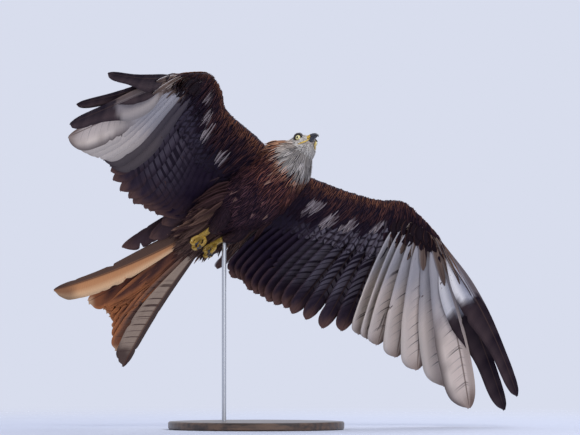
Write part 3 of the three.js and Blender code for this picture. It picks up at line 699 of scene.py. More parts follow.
for side, wing in wings.items():
    left, handed = side > 0, sides[side]

    def placed(s):
        # roots, tips, leading direction, up, sag and swing of the feathers at places s
        root, tip, up = wing.root(s, 0.5), wing.tip(s), wing.back(s)
        ahead = squareTo(unit(tip - root), wing.across(s))
        bow, sabre = np.moveaxis(wing.tips(s)[..., 3:5], -1, 0)
        return root, tip, ahead * math.cos(flight["lean"]) + up * math.sin(flight["lean"]), up, bow, sabre

    k = np.arange(10)
    *placing, bow, sabre = placed(flight["primaries"])
    inner, fingers = k <= 6, k > 6
    made = [vaneSet(*[v[some] for v in placing], outline, width[some], *grid, bow[some], sabre[some], cup=0.2,
                    ridge=1.0, splits=0.14, twist=twist)
            for some, outline, width, twist in (
                (inner, "broad", np.linspace(1.1, 1.02, 10), 0.0),
                (fingers, "finger", np.where(k == 7, 1.3, 1.04 if left else 0.8), 0.0 if left else -0.4))]
    colours, bars = primaryColours(side, k)
    addVanes(f"primaries_{handed}", np.concatenate(made), colours, "3c343a",
             paint("78645a", darkHorn, smooth(5, 7, k)), bars,
             lengths(*placing[:2]), vaneMaterial, "plumage_wing")

    k = np.arange(13)
    root, tip, lead, up, bow, sabre = placed(flight["secondaries"])
    tip = tip + unit(tip - root) * draw.uniform(-flight["uneven"], flight["uneven"], 13)[:, None]
    made = vaneSet(root, tip, lead, up, "broad", np.linspace(1.0, 0.92, 13), *grid, bow, sabre, cup=0.16,
                   ridge=0.8, splits=0.3, curl=draw.uniform(-0.012, 0.012, 13))
    colours, bars = secondaryColours(side, k, 12)
    addVanes(f"secondaries_{handed}", made, colours, "201924", darkHorn, bars, lengths(root, tip),
             checkMaterial, "plumage_wing")

    root, tip = np.array(looseFeathers[side], float).swapaxes(0, 1)
    n = len(root)
    k = np.arange(n)
    made = vaneSet(root, tip, np.array([[0.0, side, 0.0]]), wing.back(np.array(1.0))[None], "broad",
                   np.full(n, 0.55), *grid, -0.03, 0.02 * k,
                   cup=0.3, ridge=0.7, splits=0.5, curl=draw.uniform(-0.03, 0.03, n) - 0.05 * left,
                   twist=draw.uniform(-0.2, 0.2, n) + 0.35 * left)
    colours, bars = secondaryColours(side, k, 12)
    t, q, face, k = vaneGrid(k, *grid)
    colours = paint(colours, "604a44", 0.3 + 0.5 * left, white,
                    smooth(0.8, 0.97, np.abs(q)) * left * smooth(0.4, 0.7, t))
    addVanes(f"inner_feathers_{handed}", made, colours, black, darkHorn, bars, lengths(root, tip),
             checkMaterial, "plumage_wing")

    # the alula: three stiff dark feathers over the front of the hand
    k = np.arange(alula["feathers"])
    s = alula["rootAt"] + 0.03 * k
    root = wing.root(s, 0.2) + 1.5 * wing.back(s)
    s = alula["tipAt"] - 0.06 * k
    tip = wing.root(s, 0.7 + 0.25 * k) + (6.5 - 2.0 * k)[:, None] * wing.back(s)
    made = vaneSet(root, tip, -wing.chord(s), wing.back(s), "alula", 1 + 0 * s, alula["rows"],
                   alula["columns"], -0.03, cup=0.2, ridge=0.6, splits=0.3)
    addVanes(f"alula_{handed}", made, "3a2e2e", black, darkHorn, 0.2, lengths(root, tip), vaneMaterial,
             "plumage_wing")

print("flight feathers made")

# tail

tail = dict(root=[-150, 0, 8.0], rootHalf=13, twist=math.radians(29), longest=341, middle=275, grid=(60, 9),
            widths=[1.15, 0.9, 0.9, 0.92, 0.95])
tailPlans = {1: dict(inner=2.5, fifth=11.4, outer=15.6, rise=1.6),
             -1: dict(inner=1.5, fifth=7, outer=16.5, rise=7)}


def tailColours(side, k):
    # underside: the right outermost orange paling to cream inside, partly its own colour and partly painted
    # glow of light through the vane, and dark outside, the left one grey buff with bars and a dark tip, those
    # between rufous brown with orange edges and pale ends; upper side orange red with a dark band before the
    # tip
    t, q, face, k = vaneGrid(k, *tail["grid"])
    left, wave, outermost, web = side > 0, ripple(t * 8 + k * 2.7 + q), smooth(4.4, 4.9, k), np.abs(q)
    middle = paint(
        "3e2928", "5a3930", 0.5 + 0.5 * wave, "705d54", smooth(1.5, 4.0, k) * 0.7 * left,
        "ba7448", np.clip(0.7 * smooth(0.88, 0.98, web) * smooth(0.2, 0.6, t) + 0.5 * smooth(0.74, 0.92, t)
                          + 0.2 * wave, 0, 1),
        "debe98", 0.8 * smooth(0.93, 1.0, t + 0.02 * wave))
    # the right outermost's orange to cream inner web is partly its own colour, partly painted glow of light
    # through the vane
    inside = "9e8a7a" if left else paint("be865c", "e0ba92", smooth(-0.3, -0.95, q))
    edge = paint(inside, "4c3e3a" if left else "5c463c", smooth(-0.08, 0.1, q),
                 "42302e", smooth(0.84, 0.93, t + 0.02 * wave - 0.05 * q) * (0.85 if left else 0.55))
    dusky = smooth(0.86, 0.95, t) * (0.25 + 0.6 * outermost) + outermost * smooth(-0.05, 0.2, q) * 0.7
    over = paint("b06238", "c4784c", smooth(0, 4, k), brown, np.clip(dusky, 0, 0.9))
    bars = 0.95 * smooth(2.5, 4.5, k) if left else 0.12 * (1 - outermost)
    bars = bars * smooth(0.3, 0.4, t) * smooth(0.93, 0.86, t)
    bars = bars * smooth(0.12, -0.05, q) * smooth(1.02, 0.75, web)
    return twoFaces(face, paint(middle, edge, outermost), over, bars, 0.5)


tailAcross = np.array([0, math.cos(tail["twist"]), -math.sin(tail["twist"])])
tailUp = np.array([0, math.sin(tail["twist"]), math.cos(tail["twist"])])
for side, plan in tailPlans.items():
    k = np.arange(6)
    share, outward = k / 5, tailAcross * side
    angle = np.radians(np.where(k == 5, plan["outer"], plan["inner"]
                                + (plan["fifth"] - plan["inner"]) * share / 0.8))
    long = tail["middle"] + (tail["longest"] - tail["middle"]) * share ** plan["rise"]
    root = np.array(tail["root"]) + outward * tail["rootHalf"] * (0.1 + 0.9 * share)[:,
        None] + tailUp * (-1.5 * k - 0.75 * (side < 0))[:, None]
    tip = root + around(angle, np.array([-1.0, 0, 0]), outward) * long[:, None]
    lead = outward * math.cos(flight["lean"]) + tailUp * math.sin(flight["lean"]) + 0 * root
    up = tailUp + 0 * root
    made = [vaneSet(root[:5], tip[:5], lead[:5], up[:5], "tail", np.array(tail["widths"]), *tail["grid"],
                    0.005, -0.03 * share[:5],
                    cup=0.22, ridge=0.8, splits=0.55, curl=draw.uniform(-0.008, 0.008, 5)),
            vaneSet(root[5:], tip[5:], lead[5:], up[5:], "outerTail" + sides[side], np.array([1.0]),
                    *tail["grid"], 0.005, -0.03, cup=0.22, ridge=0.9, splits=0.6)]
    colours, bars = tailColours(side, k)
    addVanes(f"tail_feathers_{sides[side]}", np.concatenate(made), colours, "483632",
             paint(darkHorn, "7a4a30", 0.4), bars, long, tailMaterial, "plumage_tail")

print("tail made")

# the skin: one mesh of trunk, head, wing cores, thighs and tail root, under the coat

skin = dict(trunk=-3.0, head=-1.3, core=-0.8, voxel=0.0032, soften=0.5, times=6)
m = Material("downySkin", Roughness=0.8)
down = m.noise(420.0, 3.0, 0.6)
shade = m.between(down, 0.3, 0.7, 0.72, 1.2)
m.set(Base_Color=m.add("HueSaturation", Color=m.attribute("ground", "Color"), Value=shade).outputs[0])
m.bump(down, 0.0012, 0.6)
skinMaterial = m.made
legPaths = {side: np.array([[-44, 25 * side - 7, -20], [-74, 27 * side - 7, -42], [-96, 22 * side - 7, -42],
                            [-111, 19 * side - 7, -36]])
            for side in sides}


def coreRings(wing):
    # the wing's sections under the coat, along its back and then its belly
    share, s = np.array([0.01, 0.06, 0.28, 0.65, 1.0]), np.linspace(-0.1, 3.0, 40)[:, None]
    back, belly = (wing.sheet(s + 0 * share, wing.edge(s)[..., 3] * share, face,
                              skin["core"]) for face in (1.0, -1.0))
    return np.concatenate([back, belly[:, ::-1]], 1)


def stations(low, high, count):
    # places along a loft, as a column
    return np.linspace(low, high, count)[:, None]


solids = {
    "trunk": trunkPoint(stations(-166, 146, 62), circle(48)[None], skin["trunk"]),
    "head": onHead(headLocal(stations(-29.5, 29.5, 34), circle(48)[None], skin["head"])),
    **{f"wing_{side}": coreRings(wing)[:, ::-side] for side, wing in wings.items()},
    **{f"leg_{side}": tubeAlong(path, lambda t: (17 - 12 * t) * (0.5 + 0.5 * smooth(0, 0.35, t)), 16,
                                20) for side, path in legPaths.items()},
    "tail": tubeAlong([[-122, 0, 7], [-150, 0, 7], [-178, 0, 7]], lambda t: 24 - 14 * t, 10, 24, squeeze=0.5),
}
parts = [addMesh(name, closeTube(rings), tubeFaces(*rings.shape[:2]), skinMaterial) for name,
         rings in solids.items()]
skinPiece = parts[0]
with bpy.context.temp_override(active_object=skinPiece, object=skinPiece, selected_objects=parts,
                               selected_editable_objects=parts):
    bpy.ops.object.join()
remesh = skinPiece.modifiers.new("voxels", "REMESH")
remesh.mode, remesh.voxel_size, remesh.use_smooth_shade = "VOXEL", skin["voxel"], True
soften = skinPiece.modifiers.new("soften", "SMOOTH")
soften.factor, soften.iterations = skin["soften"], skin["times"]
finished = bpy.data.meshes.new_from_object(skinPiece.evaluated_get(bpy.context.evaluated_depsgraph_get()))
skinPiece.modifiers.clear()
skinPiece.data = finished
skinPiece.name = finished.name = "skin"


def bodyTone(points):
    # light and dark colour of the coat at points in the bird's frame: grey head and throat, rufous breast,
    # purplish black streaks, dark belly, buff under the tail; and how grey the place is
    x, y, z = np.moveaxis(points, -1, 0)
    patchy = 0.5 + 0.5 * ripple(x * 0.05 + y * 0.06 + z * 0.02, 2.0)
    vent = smooth(-98, -130, x)
    grey = smooth(99, 112, x - 0.1 * z + 5 * ripple(y * 0.2))
    bright = paint(
        "4c2e2e", "704438", patchy, "ba8668", smooth(78, 102, x + 6 * ripple(y * 0.1)) * 0.75,
        "3a2931", smooth(70, 10, x) * 0.85, "7a5c4e", vent * 0.8,
        "8c5636", 0.6 * smooth(10, 40, z) * smooth(110, 80, x),
        paint("d6c6ba", "b6afaa", smooth(6, -14, z)), grey)
    return bright, paint("160e1c", "20141e", patchy, "483432", vent * 0.85, "322d31", grey), grey


spots = np.empty(len(finished.vertices) * 3, np.float32)
finished.vertices.foreach_get("co", spots)
spots = (spots.reshape(-1, 3) - bodySpot) @ birdTurn * 1000
bright, dark, grey = bodyTone(spots)
addAttribute(finished, "ground", paint(dark, bright, 0.35 + 0.4 * grey, purple,
                                       smooth(62, 84, np.abs(spots[:, 1]))))
finished.materials.clear()
finished.materials.append(skinMaterial)
dress(skinPiece, "plumage_body", "head", "neck", "torso", "thigh_left", "thigh_right", "wing_left_arm",
      "wing_left_hand", "wing_right_arm", "wing_right_hand", "tail")

print("skin made, triangles", 2 * len(finished.polygons))

# coats: small feathers laid on a surface, each from a root place to a tip place


def laid(surface, u, v, toU, toV, rootLift, tipLift, outline, width, rows=5, count=3, tilt=0.0, thick=0.14,
         ridge=0.12, cup=0.12, **more):
    # root and tip lie on the surface at their own lifts and the vane bends with the surface between them
    root, tip = surface(u, v, rootLift), surface(toU, toV, tipLift)
    middle = surface((u + toU) / 2, (v + toV) / 2, (rootLift + tipLift) / 2)
    outward, long = surface(u, v, rootLift + 1.0) - root, lengths(root, tip)
    along = unit(tip - root)
    lead = unit(np.cross(outward, along))
    up = unit(np.cross(along, lead))
    up = up * np.sign((up * outward).sum(-1, keepdims=True))
    bow = -((middle - (root + tip) / 2) * up).sum(-1) / np.maximum(long, 0.1)
    made = vaneSet(root, tip, around(tilt + 0 * long, lead, up), up, outline, width, rows, count, bow=bow,
                   thick=thick, ridge=ridge, cup=cup, **more)
    return made, long, (root + tip) / 2


def hung(root, tip, outward, *shape, **more):
    # lance-shaped vanes that hang free and face outward
    return vaneSet(root, tip, unit(np.cross(outward, tip - root)), outward, "lance", *shape, cup=0.2, **more)


def staggered(low, high, rowGap, countAt):
    # rows from high to low, each with its own number of places round it, every second row half a place on
    rows = np.arange(high, low, -rowGap)
    rounds = [(np.arange(many) + 0.5 * (i % 2)) / many for i, many in enumerate(countAt(rows).astype(int))]
    u = np.repeat(rows, [len(places) for places in rounds])
    return u + draw.uniform(-0.35, 0.35, len(u)) * rowGap, np.concatenate(rounds)


def addPlumes(name, points, ground, mark, pattern, length, slot, u, v):
    # streaked feathers whose roots are at shares u and v of the skin's unwrap
    addVanes(name, points, ground, mark, mark, pattern, length, plumeMaterial, slot,
             0.01 + 0.98 * spot(u, v % 1))


coat = dict(low=-150, high=145, rowGap=7.0, sunk=-1.5, mapFrom=-160, mapLength=310)
x, share = staggered(coat["low"], coat["high"], coat["rowGap"],
                     lambda u: table(u, [-150, -100, 0, 100, 128, 145], 26, 50, 76, 74, 58, 38))
a, n = share * 2 * np.pi, len(x)
long = table(x, [-150, -100, -40, 40, 90, 120, 145], 40, 36, 34, 36, 34, 25, 18) * draw.uniform(0.85, 1.2, n)
belly = smooth(0.2, -0.3, np.sin(a))
locks = 0.06 * np.sin(x * 0.045 + 3 * a) + 0.03 * np.sin(x * 0.11 + 7 * a)  # of feathers that sway together
points, length, middles = laid(
    trunkPoint, x, a, x - long * 0.97, a + draw.normal(0, 0.04, n) + locks, coat["sunk"],
    draw.uniform(0.8, 3.0, n) + 1.4 * belly * draw.uniform(0, 1, n) ** 2, "lance",
    table(x, [-150, -60, 60, 110, 145], 4.6, 4.2, 4.3, 3.4, 2.4) * draw.uniform(0.8, 1.2, n),
    rows=7, tilt=draw.normal(0, 0.16, n), sabre=draw.normal(0, 0.05, n), curl=draw.normal(0, 0.012, n))
bright, dark, grey = bodyTone(middles)
bright = bright * (0.7 - 0.27 * grey + (1.5 - 0.7 * grey) * draw.uniform(0, 1, n) ** 2)[:, None]
pale = (draw.uniform(0, 1, n) > 0.975) * smooth(-20, 40, x) * (1 - grey)
bright = paint(bright, "a08072", pale * 0.7)
pattern = np.clip(1.0 - 0.45 * draw.uniform(0, 1, n) ** 2 - 0.4 * grey, 0, 1) * np.where(pale > 0.3, 0.4, 1)
for name, some in (("coat_breast", np.sin(a) < 0), ("coat_back", np.sin(a) >= 0)):
    addPlumes(name, *(v[some] for v in (points, bright, dark, pattern, length)), "plumage_body",
              (x[some] - coat["mapFrom"]) / coat["mapLength"], share[some])

print("body coat made", n)

# longer, looser feathers round the root of the tail
ruff = dict(count=420, low=-172, high=-108, shortest=44, longest=70, sunk=-1.0)
n = ruff["count"]
x, share = draw.uniform(ruff["low"], ruff["high"], n), draw.uniform(0, 1, n)
a = share * 2 * np.pi
lower = np.sin(a) < 0.1
long = draw.uniform(ruff["shortest"], ruff["longest"], n)
root = trunkPoint(x, a, ruff["sunk"])
tip = root + unit(spot(-1, 0.12 * np.cos(a) * draw.uniform(0.2, 1.5, n),
                       0.08 * np.sin(a) * draw.uniform(0.2, 1.5, n))) * long[:, None]
tip[:, 2] = tip[:, 2] * 0.75 + 3 * np.where(lower, -1, 1)
points = hung(root, tip, trunkPoint(x, a, 1.0) - root, long * 0.09, 9, 5, bow=draw.normal(0, 0.03, n),
              ridge=0.2, thick=0.2, splits=0.3, curl=draw.normal(0, 0.02, n), twist=draw.normal(0, 0.25, n))
ground = paint("3c2a29", "745a50", draw.uniform(0, 1, n) ** 1.4, "54342d",
               np.where(lower, 0.5 * smooth(-150, -168, x), 0.85))
addPlumes("tail_coverts", points, ground, ground * 0.6, 0.6, long, "plumage_tail", (x + 174) / 64, share)

# loose flank feathers bridge the gap from the body to the innermost flight feathers
flank = dict(count=130, low=-138, high=-8, shortest=56, longest=84, sunk=-2.0)
n = flank["count"]
x, side = draw.uniform(flank["low"], flank["high"], n), np.where(np.arange(n) % 2, 1.0, -1.0)
a = np.where(side > 0, 0, np.pi) + side * draw.uniform(-0.5, 0.12, n)
long = draw.uniform(flank["shortest"], flank["longest"], n)
root = trunkPoint(x, a, flank["sunk"])
tip = root + unit(spot(-1, side * draw.uniform(0.14, 0.42, n), draw.uniform(-0.02, 0.12, n))) * long[:, None]
points = hung(root, tip, spot(0, 0.3 * side, -1), draw.uniform(4.5, 7.0, n), 9, 4,
              bow=draw.normal(0.03, 0.03, n), ridge=0.2, thick=0.2,
              splits=0.3, curl=draw.normal(0, 0.02, n), twist=draw.normal(0, 0.2, n),
              sabre=draw.normal(0, 0.04, n))
ground = paint("3e2a2c", "967462", draw.uniform(0, 1, n) ** 2 * smooth(-20, -90, x))
addPlumes("flank_feathers", points, ground, ground * 0.55, 0.7, long, "plumage_body", (x + 140) / 135,
          a / (2 * np.pi))

# a cape of feathers from the sides of the neck over the shoulders
cape = dict(count=110, low=106, high=135, lowest=-0.1, highest=0.8, sunk=-2.0)
n = cape["count"]
side = np.where(np.arange(n) % 2, 1.0, -1.0)
x, rise = draw.uniform(cape["low"], cape["high"], n), draw.uniform(cape["lowest"], cape["highest"], n)
root = trunkPoint(x, np.where(side > 0, 0, np.pi) + side * rise, cape["sunk"])
tip = root + spot(-draw.uniform(26, 42, n), side * draw.uniform(12, 28, n), draw.uniform(-4, 5, n))
points = hung(root, tip, spot(0.2, 0.2 * side, np.sin(rise) - 0.6), draw.uniform(3.2, 4.8, n), 8, 3,
              bow=draw.normal(0.02, 0.03, n),
              ridge=0.15, thick=0.15, curl=draw.normal(0, 0.02, n), twist=draw.normal(0, 0.2, n),
              sabre=draw.normal(0, 0.05, n))
luck = draw.uniform(0, 1, n)
addPlumes("shoulder_cape", points, paint("704636", "cca080", luck ** 1.6), "24181e", 0.6 + 0.3 * luck,
          lengths(root, tip), "plumage_body", (x - 104) / 33, rise / (2 * np.pi) + 0.25 * (1 - side))

# feathered thighs
thigh = dict(radius=19, taper=13, low=-0.05, high=0.98, rowGap=0.055)
for side, handed in sides.items():
    path = reader(np.column_stack([np.linspace(0, 1, 4), legPaths[side]]))

    def thighPoint(u, v, lift):
        # a tapering round section carried along the leg's path: u along it, v round it
        forward = unit(path(np.clip(u + 0.02, 0, 1)) - path(np.clip(u - 0.02, 0, 1)))
        level = unit(np.cross(forward, np.array([0.1, 0.3, 1.0])))
        radius = thigh["radius"] - thigh["taper"] * np.clip(u, 0, 1) + lift
        return path(u) + radius[..., None] * around(v, level, np.cross(level, forward))

    u, share = staggered(thigh["low"], thigh["high"], thigh["rowGap"], lambda u: 30 - 12 * u)
    n, v = len(u), share * 2 * np.pi
    long = draw.uniform(0.26, 0.36, n)
    rise = smooth(-0.05, 0.35, u)  # the first rows come up out of the belly
    points, length, _ = laid(
        thighPoint, u, v, u + long, v + draw.normal(0, 0.08, n), -5 + 3.8 * rise,
        draw.uniform(0.8, 3.2, n) * (0.2 + 0.8 * rise),
        "lance", draw.uniform(2.2, 3.4, n) * (1 - 0.35 * u), rows=6)
    ground = paint("2e202a", "5c423c", draw.uniform(0, 0.8, n) * smooth(0, 0.6, u))
    addPlumes(f"coat_thigh_{handed}", points, ground, ground * 0.45, 0.8, length, "plumage_body",
              (u + 0.1) / 1.15, share)

print("tail root and thighs covered")

# wing coverts: rows of shingled feathers from the trailing side to the leading edge, on both faces

covertRows = [  # root's share of the chord, length on arm and on hand, gap, half width, lift of the tips
    (0.52, 50, 46, 12.0, 7.6, 6.4), (0.43, 47, 38, 10.0, 6.6, 5.8), (0.35, 43, 32, 8.6, 5.8, 5.2),
    (0.28, 39, 27, 7.6, 5.0, 4.6), (0.215, 35, 23, 6.8, 4.4, 4.0), (0.155, 29, 19, 6.0, 3.8, 3.4),
    (0.105, 23, 15, 5.2, 3.3, 2.9), (0.06, 17, 12, 4.6, 2.9, 2.3), (0.025, 12, 9, 4.0, 2.5, 1.7),
]
wristCoverts = dict(count=22, low=1.97, high=2.6, shortest=27, longest=40)
paleSpots = {  # where pale down shows among the dark coverts: place along the span, share of the chord, size
    1: [[0.56, 0.55, 0.13], [0.95, 0.8, 0.12], [1.34, 0.85, 0.10], [1.74, 0.85, 0.10], [2.42, 0.75, 0.10],
        [2.62, 1.3, 0.10], [2.05, 1.4, 0.14]],
    -1: [[1.66, 0.5, 0.09], [1.35, 0.7, 0.12], [1.1, 0.8, 0.13], [0.55, 0.8, 0.10], [2.1, 0.85, 0.10],
         [1.29, 1.5, 0.08]],
}


def coverTone(side, face, s, share):
    # ground, centre colour and strength of the centre streak for coverts whose visible part is at (s, share):
    # below, nearly black with rufous edges, on the left wing darker by the body as painted shadow behind the
    # breast, orange along the leading edge partly from rufous feathers and partly as painted rim light from
    # above, a few pale tufts, a black wrist
    n, left, hand = len(s), side > 0, smooth(2.0, 2.2, s)
    luck = draw.uniform(0, 1, n)
    if face > 0:
        ground = paint(
            "845236", "9e6642", luck,
            "ba9670", np.exp(-((share - 0.62) / 0.2) ** 2) * 0.8 * smooth(2.3, 1.6, s),
            "543e36", smooth(2.0, 2.4, s) * smooth(0.2, 0.5, share))
        return ground, light("30201e") + 0 * ground, 0.75 + 0.25 * luck
    ground = paint(
        "2c1f28", "5c3a34", luck ** 1.5,
        # the left wing's extra darkening by the body is painted shadow behind the breast
        "201724", 0.8 * smooth(0.45, 0.85, share) * (1 if left else smooth(0.1, 0.8, s)),
        "1c1422", (0.8 if left else 0.25) * smooth(0.9, 0.4, s) * smooth(0.2, 0.4, share),
        # orange along the leading edge: partly rufous feathers, partly painted rim light from above
        "905e42", smooth(0.3, 0.08, share) * (0.4 + 0.5 * luck),
        "20161c", hand * smooth(0.25, 0.5, share) * smooth(2.85, 2.55, s) * (0.75 + 0.25 * luck),
        "705c52", hand * smooth(1.5, 1.9, share) * luck * 0.9)
    mark = paint("160f1c", "22151e", luck)
    for at, part, wide in paleSpots[side]:
        near = np.exp(-((s - at) / wide) ** 2 - ((share - part) / (wide * 1.3)) ** 2)
        tuft = smooth(0.3, 0.6, near * (0.7 + 0.6 * draw.uniform(0, 1, n)))
        ground, mark = paint(ground, "a09596", tuft * 0.9), paint(mark, "685c60", tuft * 0.8)
    return ground, mark, 1.0 - 0.3 * luck


def evenly(wing, share, face, gap, low=0.03, high=2.9):
    # places along the span a set gap apart, measured on the sheet at one share of the chord
    s = np.linspace(low, high, 400)
    line = wing.sheet(s, wing.edge(s)[..., 3] * share, face)
    run = np.concatenate([[0], np.cumsum(lengths(line[:-1], line[1:]))])
    return np.interp(np.arange(gap * 0.5, run[-1], gap), run, s)


for side, wing in wings.items():
    left, handed = side > 0, sides[side]
    for face, faceName in ((-1.0, "under"), (1.0, "upper")):
        surface = lambda u, v, lift: wing.sheet(u, v, face, lift)
        # greater coverts lie over the bases of the flight feathers
        s = np.concatenate([np.linspace(0.1, 1.96, 17), np.linspace(2.04, 2.88, 11)])
        n, onHand, deep, reach = len(s), s > 2, wing.edge(s)[..., 3], lengths(wing.root(s, 0.5), wing.tip(s))
        over = np.where(onHand, 0.28 + 0.03 * smooth(2.4, 2.7, s),
                        0.37 if face < 0 else 0.42) * draw.uniform(0.94, 1.06, n)
        points, length, _ = laid(
            surface, s, deep * 0.55, s + draw.normal(0, 0.012, n), deep * 0.5 + reach * over, 0.5,
            np.where(onHand, 5.0, 7.2), "covert",
            np.where(onHand, 9.5 - 3.5 * smooth(2.2, 2.9, s), 13.5), rows=16, count=7, cup=0.3, ridge=0.4,
            thick=0.25, splits=0.5, tilt=0.1 * face * side, curl=draw.normal(0, 0.008, n))
        luck = draw.uniform(0, 1, n)
        each = luck[:, None, None]
        t, q, _, place = vaneGrid(s, 16, 7)
        web = np.abs(q)
        if face < 0:  # dark with grey checks on the arm, brown grey and pointed on the hand
            arm = smooth(2.08, 1.96, place)
            checked = (arm * smooth(0.5, 1.2, place) * (0.5 + 0.5 * each)
                       * smooth(0.08, 0.25, web) * smooth(1.0, 0.8, web))
            handTone = paint("705e54", "4a3a36", smooth(0.3, 0.85, t) * (0.4 + 0.6 * each),
                             "c8c4c6", smooth(0.5, 0.95, -q) * (0.3 + 0.6 * each))
            colours = paint("221b28", "68626c" if left else "3c3643", checked, handTone, 1 - arm)
            bars = 0.9 * arm
        else:
            colours = paint("463632", "5c463a", each,
                            "a0704c", 0.6 * smooth(0.6, 1.0, web) + 0.3 * smooth(0.86, 1.0, t))
            bars = 0.3 * luck
        addVanes(f"greater_coverts_{faceName}_{handed}", points, colours, "201922", "2a2126", bars, length,
                 checkMaterial, "plumage_wing")

        if face < 0:  # broad black brown feathers that spread over the wrist
            n = wristCoverts["count"]
            s = np.linspace(wristCoverts["low"], wristCoverts["high"], n) + draw.uniform(-0.015, 0.015, n)
            d = wing.edge(s)[..., 3] * np.tile([0.5, 0.85], n // 2)
            points, length, _ = laid(
                surface, s, d, s + draw.normal(0.01, 0.02, n),
                d + draw.uniform(wristCoverts["shortest"], wristCoverts["longest"], n), 1.0,
                np.tile([8.4, 7.2], n // 2), "covert",
                draw.uniform(6.0, 10.5, n), rows=14, tilt=draw.normal(0, 0.15, n), count=7, cup=0.25,
                ridge=0.3, thick=0.25, splits=0.4)
            edges = smooth(0.8, 1.0, np.abs(vaneGrid(s, 14, 7)[1]))
            colours = paint("1c1319", "5c3e34", draw.uniform(0, 1, n)[:, None, None] ** 2 * edges)
            addVanes(f"wrist_coverts_{handed}", points, colours, black, black, 0.0, length, checkMaterial,
                     "plumage_wing")

        sets = []
        for share, armLong, handLong, gap, wide, lift in covertRows:
            s = evenly(wing, share, face, gap)
            s = np.clip(s + draw.uniform(-0.25, 0.25, len(s)) * gap / 110, 0.02, 2.93)
            n, deep, onHand = len(s), wing.edge(s)[..., 3], smooth(1.9, 2.3, s)
            long = (armLong * (1 - onHand) + handLong * 1.2 * onHand) * draw.uniform(0.85, 1.18, n)
            d = deep * share * (1 + 0.6 * onHand) + draw.uniform(-1.6, 1.6, n)
            lifts = lift * (1 - 0.3 * onHand) * draw.uniform(0.8, 1.25, n)
            points, length, _ = laid(
                surface, s, np.maximum(d, 0.3), s + draw.normal(0, 0.016, n) + 0.02, d + long, -0.8, lifts,
                "lance", wide * (1 - 0.25 * onHand) * draw.uniform(0.8, 1.2, n), rows=7,
                tilt=draw.normal(0, 0.14, n))
            sets.append((points, *coverTone(side, face, s, (d + long * 0.7) / deep), length, s / 3,
                         np.clip(d / 130, 0, 0.99999)))
        *given, u, v = (np.concatenate(part) for part in zip(*sets))
        addPlumes(f"coverts_{faceName}_{handed}", *given, "plumage_wing", u, v)

print("wing coverts made")

# head: small feathers, eyes with lids, gape, and finishes for cere, bill, feet and claws

eyeSpots = {side: np.array([eye["forward"], eye["side"] * side, eye["up"]]) for side in sides}
eyeAims = {side: unit(np.array([0.52, 0.76 * side, -0.32])) for side in sides}


def offAim(points, side):
    # how far points are from the line along which an eye looks
    away = points - eyeSpots[side]
    return np.linalg.norm(away - (away @ eyeAims[side])[:, None] * eyeAims[side], axis=1)


def nape(u, v, lift):
    # behind the skull the head's feathers run on over the neck: u below -30 goes on along the head's own axis
    over = np.minimum(u + 30, 0)
    inside = headLocal(np.maximum(u, -30), v, lift)
    inside[:, 0] += over
    inside[:, 1:] *= (1 - 0.010 * over)[:, None]
    return onHead(inside)


headCoat = dict(low=-29, high=30, rowGap=2.3, sunk=-0.8, mapFrom=-31, mapLength=58)
x, share = staggered(headCoat["low"], headCoat["high"], headCoat["rowGap"],
                     lambda u: table(u, [-30, -8, 10, 20, 26, 30], 70, 66, 60, 50, 44, 40))
a, n = share * 2 * np.pi, len(x)
throat = smooth(-0.35, -0.85, np.sin(a))
long = table(x, [-30, -12, 4, 16, 26, 30], 14.5, 11.5, 7.5, 4.6, 3.4, 2.6)
long = long * (1 + 0.35 * throat) * draw.uniform(0.85, 1.15, n)
root, swerve = headLocal(x, a, headCoat["sunk"]), 0
for side in sides:  # feathers part round the eye and close again behind it
    off = root - eyeSpots[side]
    near = np.exp(-((off[:, 0] + 3) ** 2 + off[:, 2] ** 2) / 110) * (np.sign(root[:, 1]) == side)
    swerve = swerve + side * near * np.sign(off[:, 2]) * 0.16
toX, toA = x - long * 0.96, a + swerve + draw.normal(0, 0.03, n)
tipLift = table(x, [-30, 0, 26], 2.0, 1.1, 0.6) * draw.uniform(0.6, 1.4, n)
tipLift = tipLift + 1.2 * throat * smooth(5, -20, x) * draw.uniform(0, 1, n)
wide = table(x, [-30, -10, 10, 26], 2.5, 2.1, 1.5, 1.05) * draw.uniform(0.85, 1.15, n)
points, length, _ = laid(nape, x, a, toX, toA, headCoat["sunk"], tipLift, "lance", wide,
                               tilt=draw.normal(0, 0.14, n), thick=0.1, ridge=0.08)
local, middle = headLocal(x, a), headLocal(np.clip((x + toX) / 2, -30, 30), (a + toA) / 2)
# no feathers lie over the gape or the eyes
clear = ~((x > 14) & (np.abs(local[:, 2] + 8.3) < 1.0) & (np.abs(local[:, 1]) > 3))
nearEye = 0
for side in sides:
    here, far = np.sign(local[:, 1] - eyeSpots[side][1]) == side, offAim(middle, side)
    clear &= ~(here & ((offAim(local, side) < 6.9) | (far < 6.5)))
    nearEye = np.maximum(nearEye, here * np.exp(-(far / 9.5) ** 4))
luck, waves = draw.uniform(0, 1, n), np.maximum(0, ripple(4.6 * a + 0.05 * x))
ground = paint("b8b2ab", "f4eee4", luck) * (1 - 0.4 * waves * smooth(16, 0, x))[:, None]
ground = paint(ground, "968e8c", 0.45 * np.exp(-((x - 2) / 9) ** 2 - ((np.sin(a) - 0.05) / 0.35) ** 2),
               "706966", throat * smooth(14, -8, x) * 0.65, "585254", nearEye * 0.75)
mark = paint("4a4448", "2e292d", luck)
pattern = np.clip(0.5 + 0.25 * smooth(14, -12, x) + 0.2 * throat, 0, 1) * draw.uniform(0.6, 1, n)
addPlumes("coat_head", *(v[clear] for v in (points, ground, mark, pattern, length)), "plumage_head",
          (x[clear] - headCoat["mapFrom"]) / headCoat["mapLength"], share[clear])

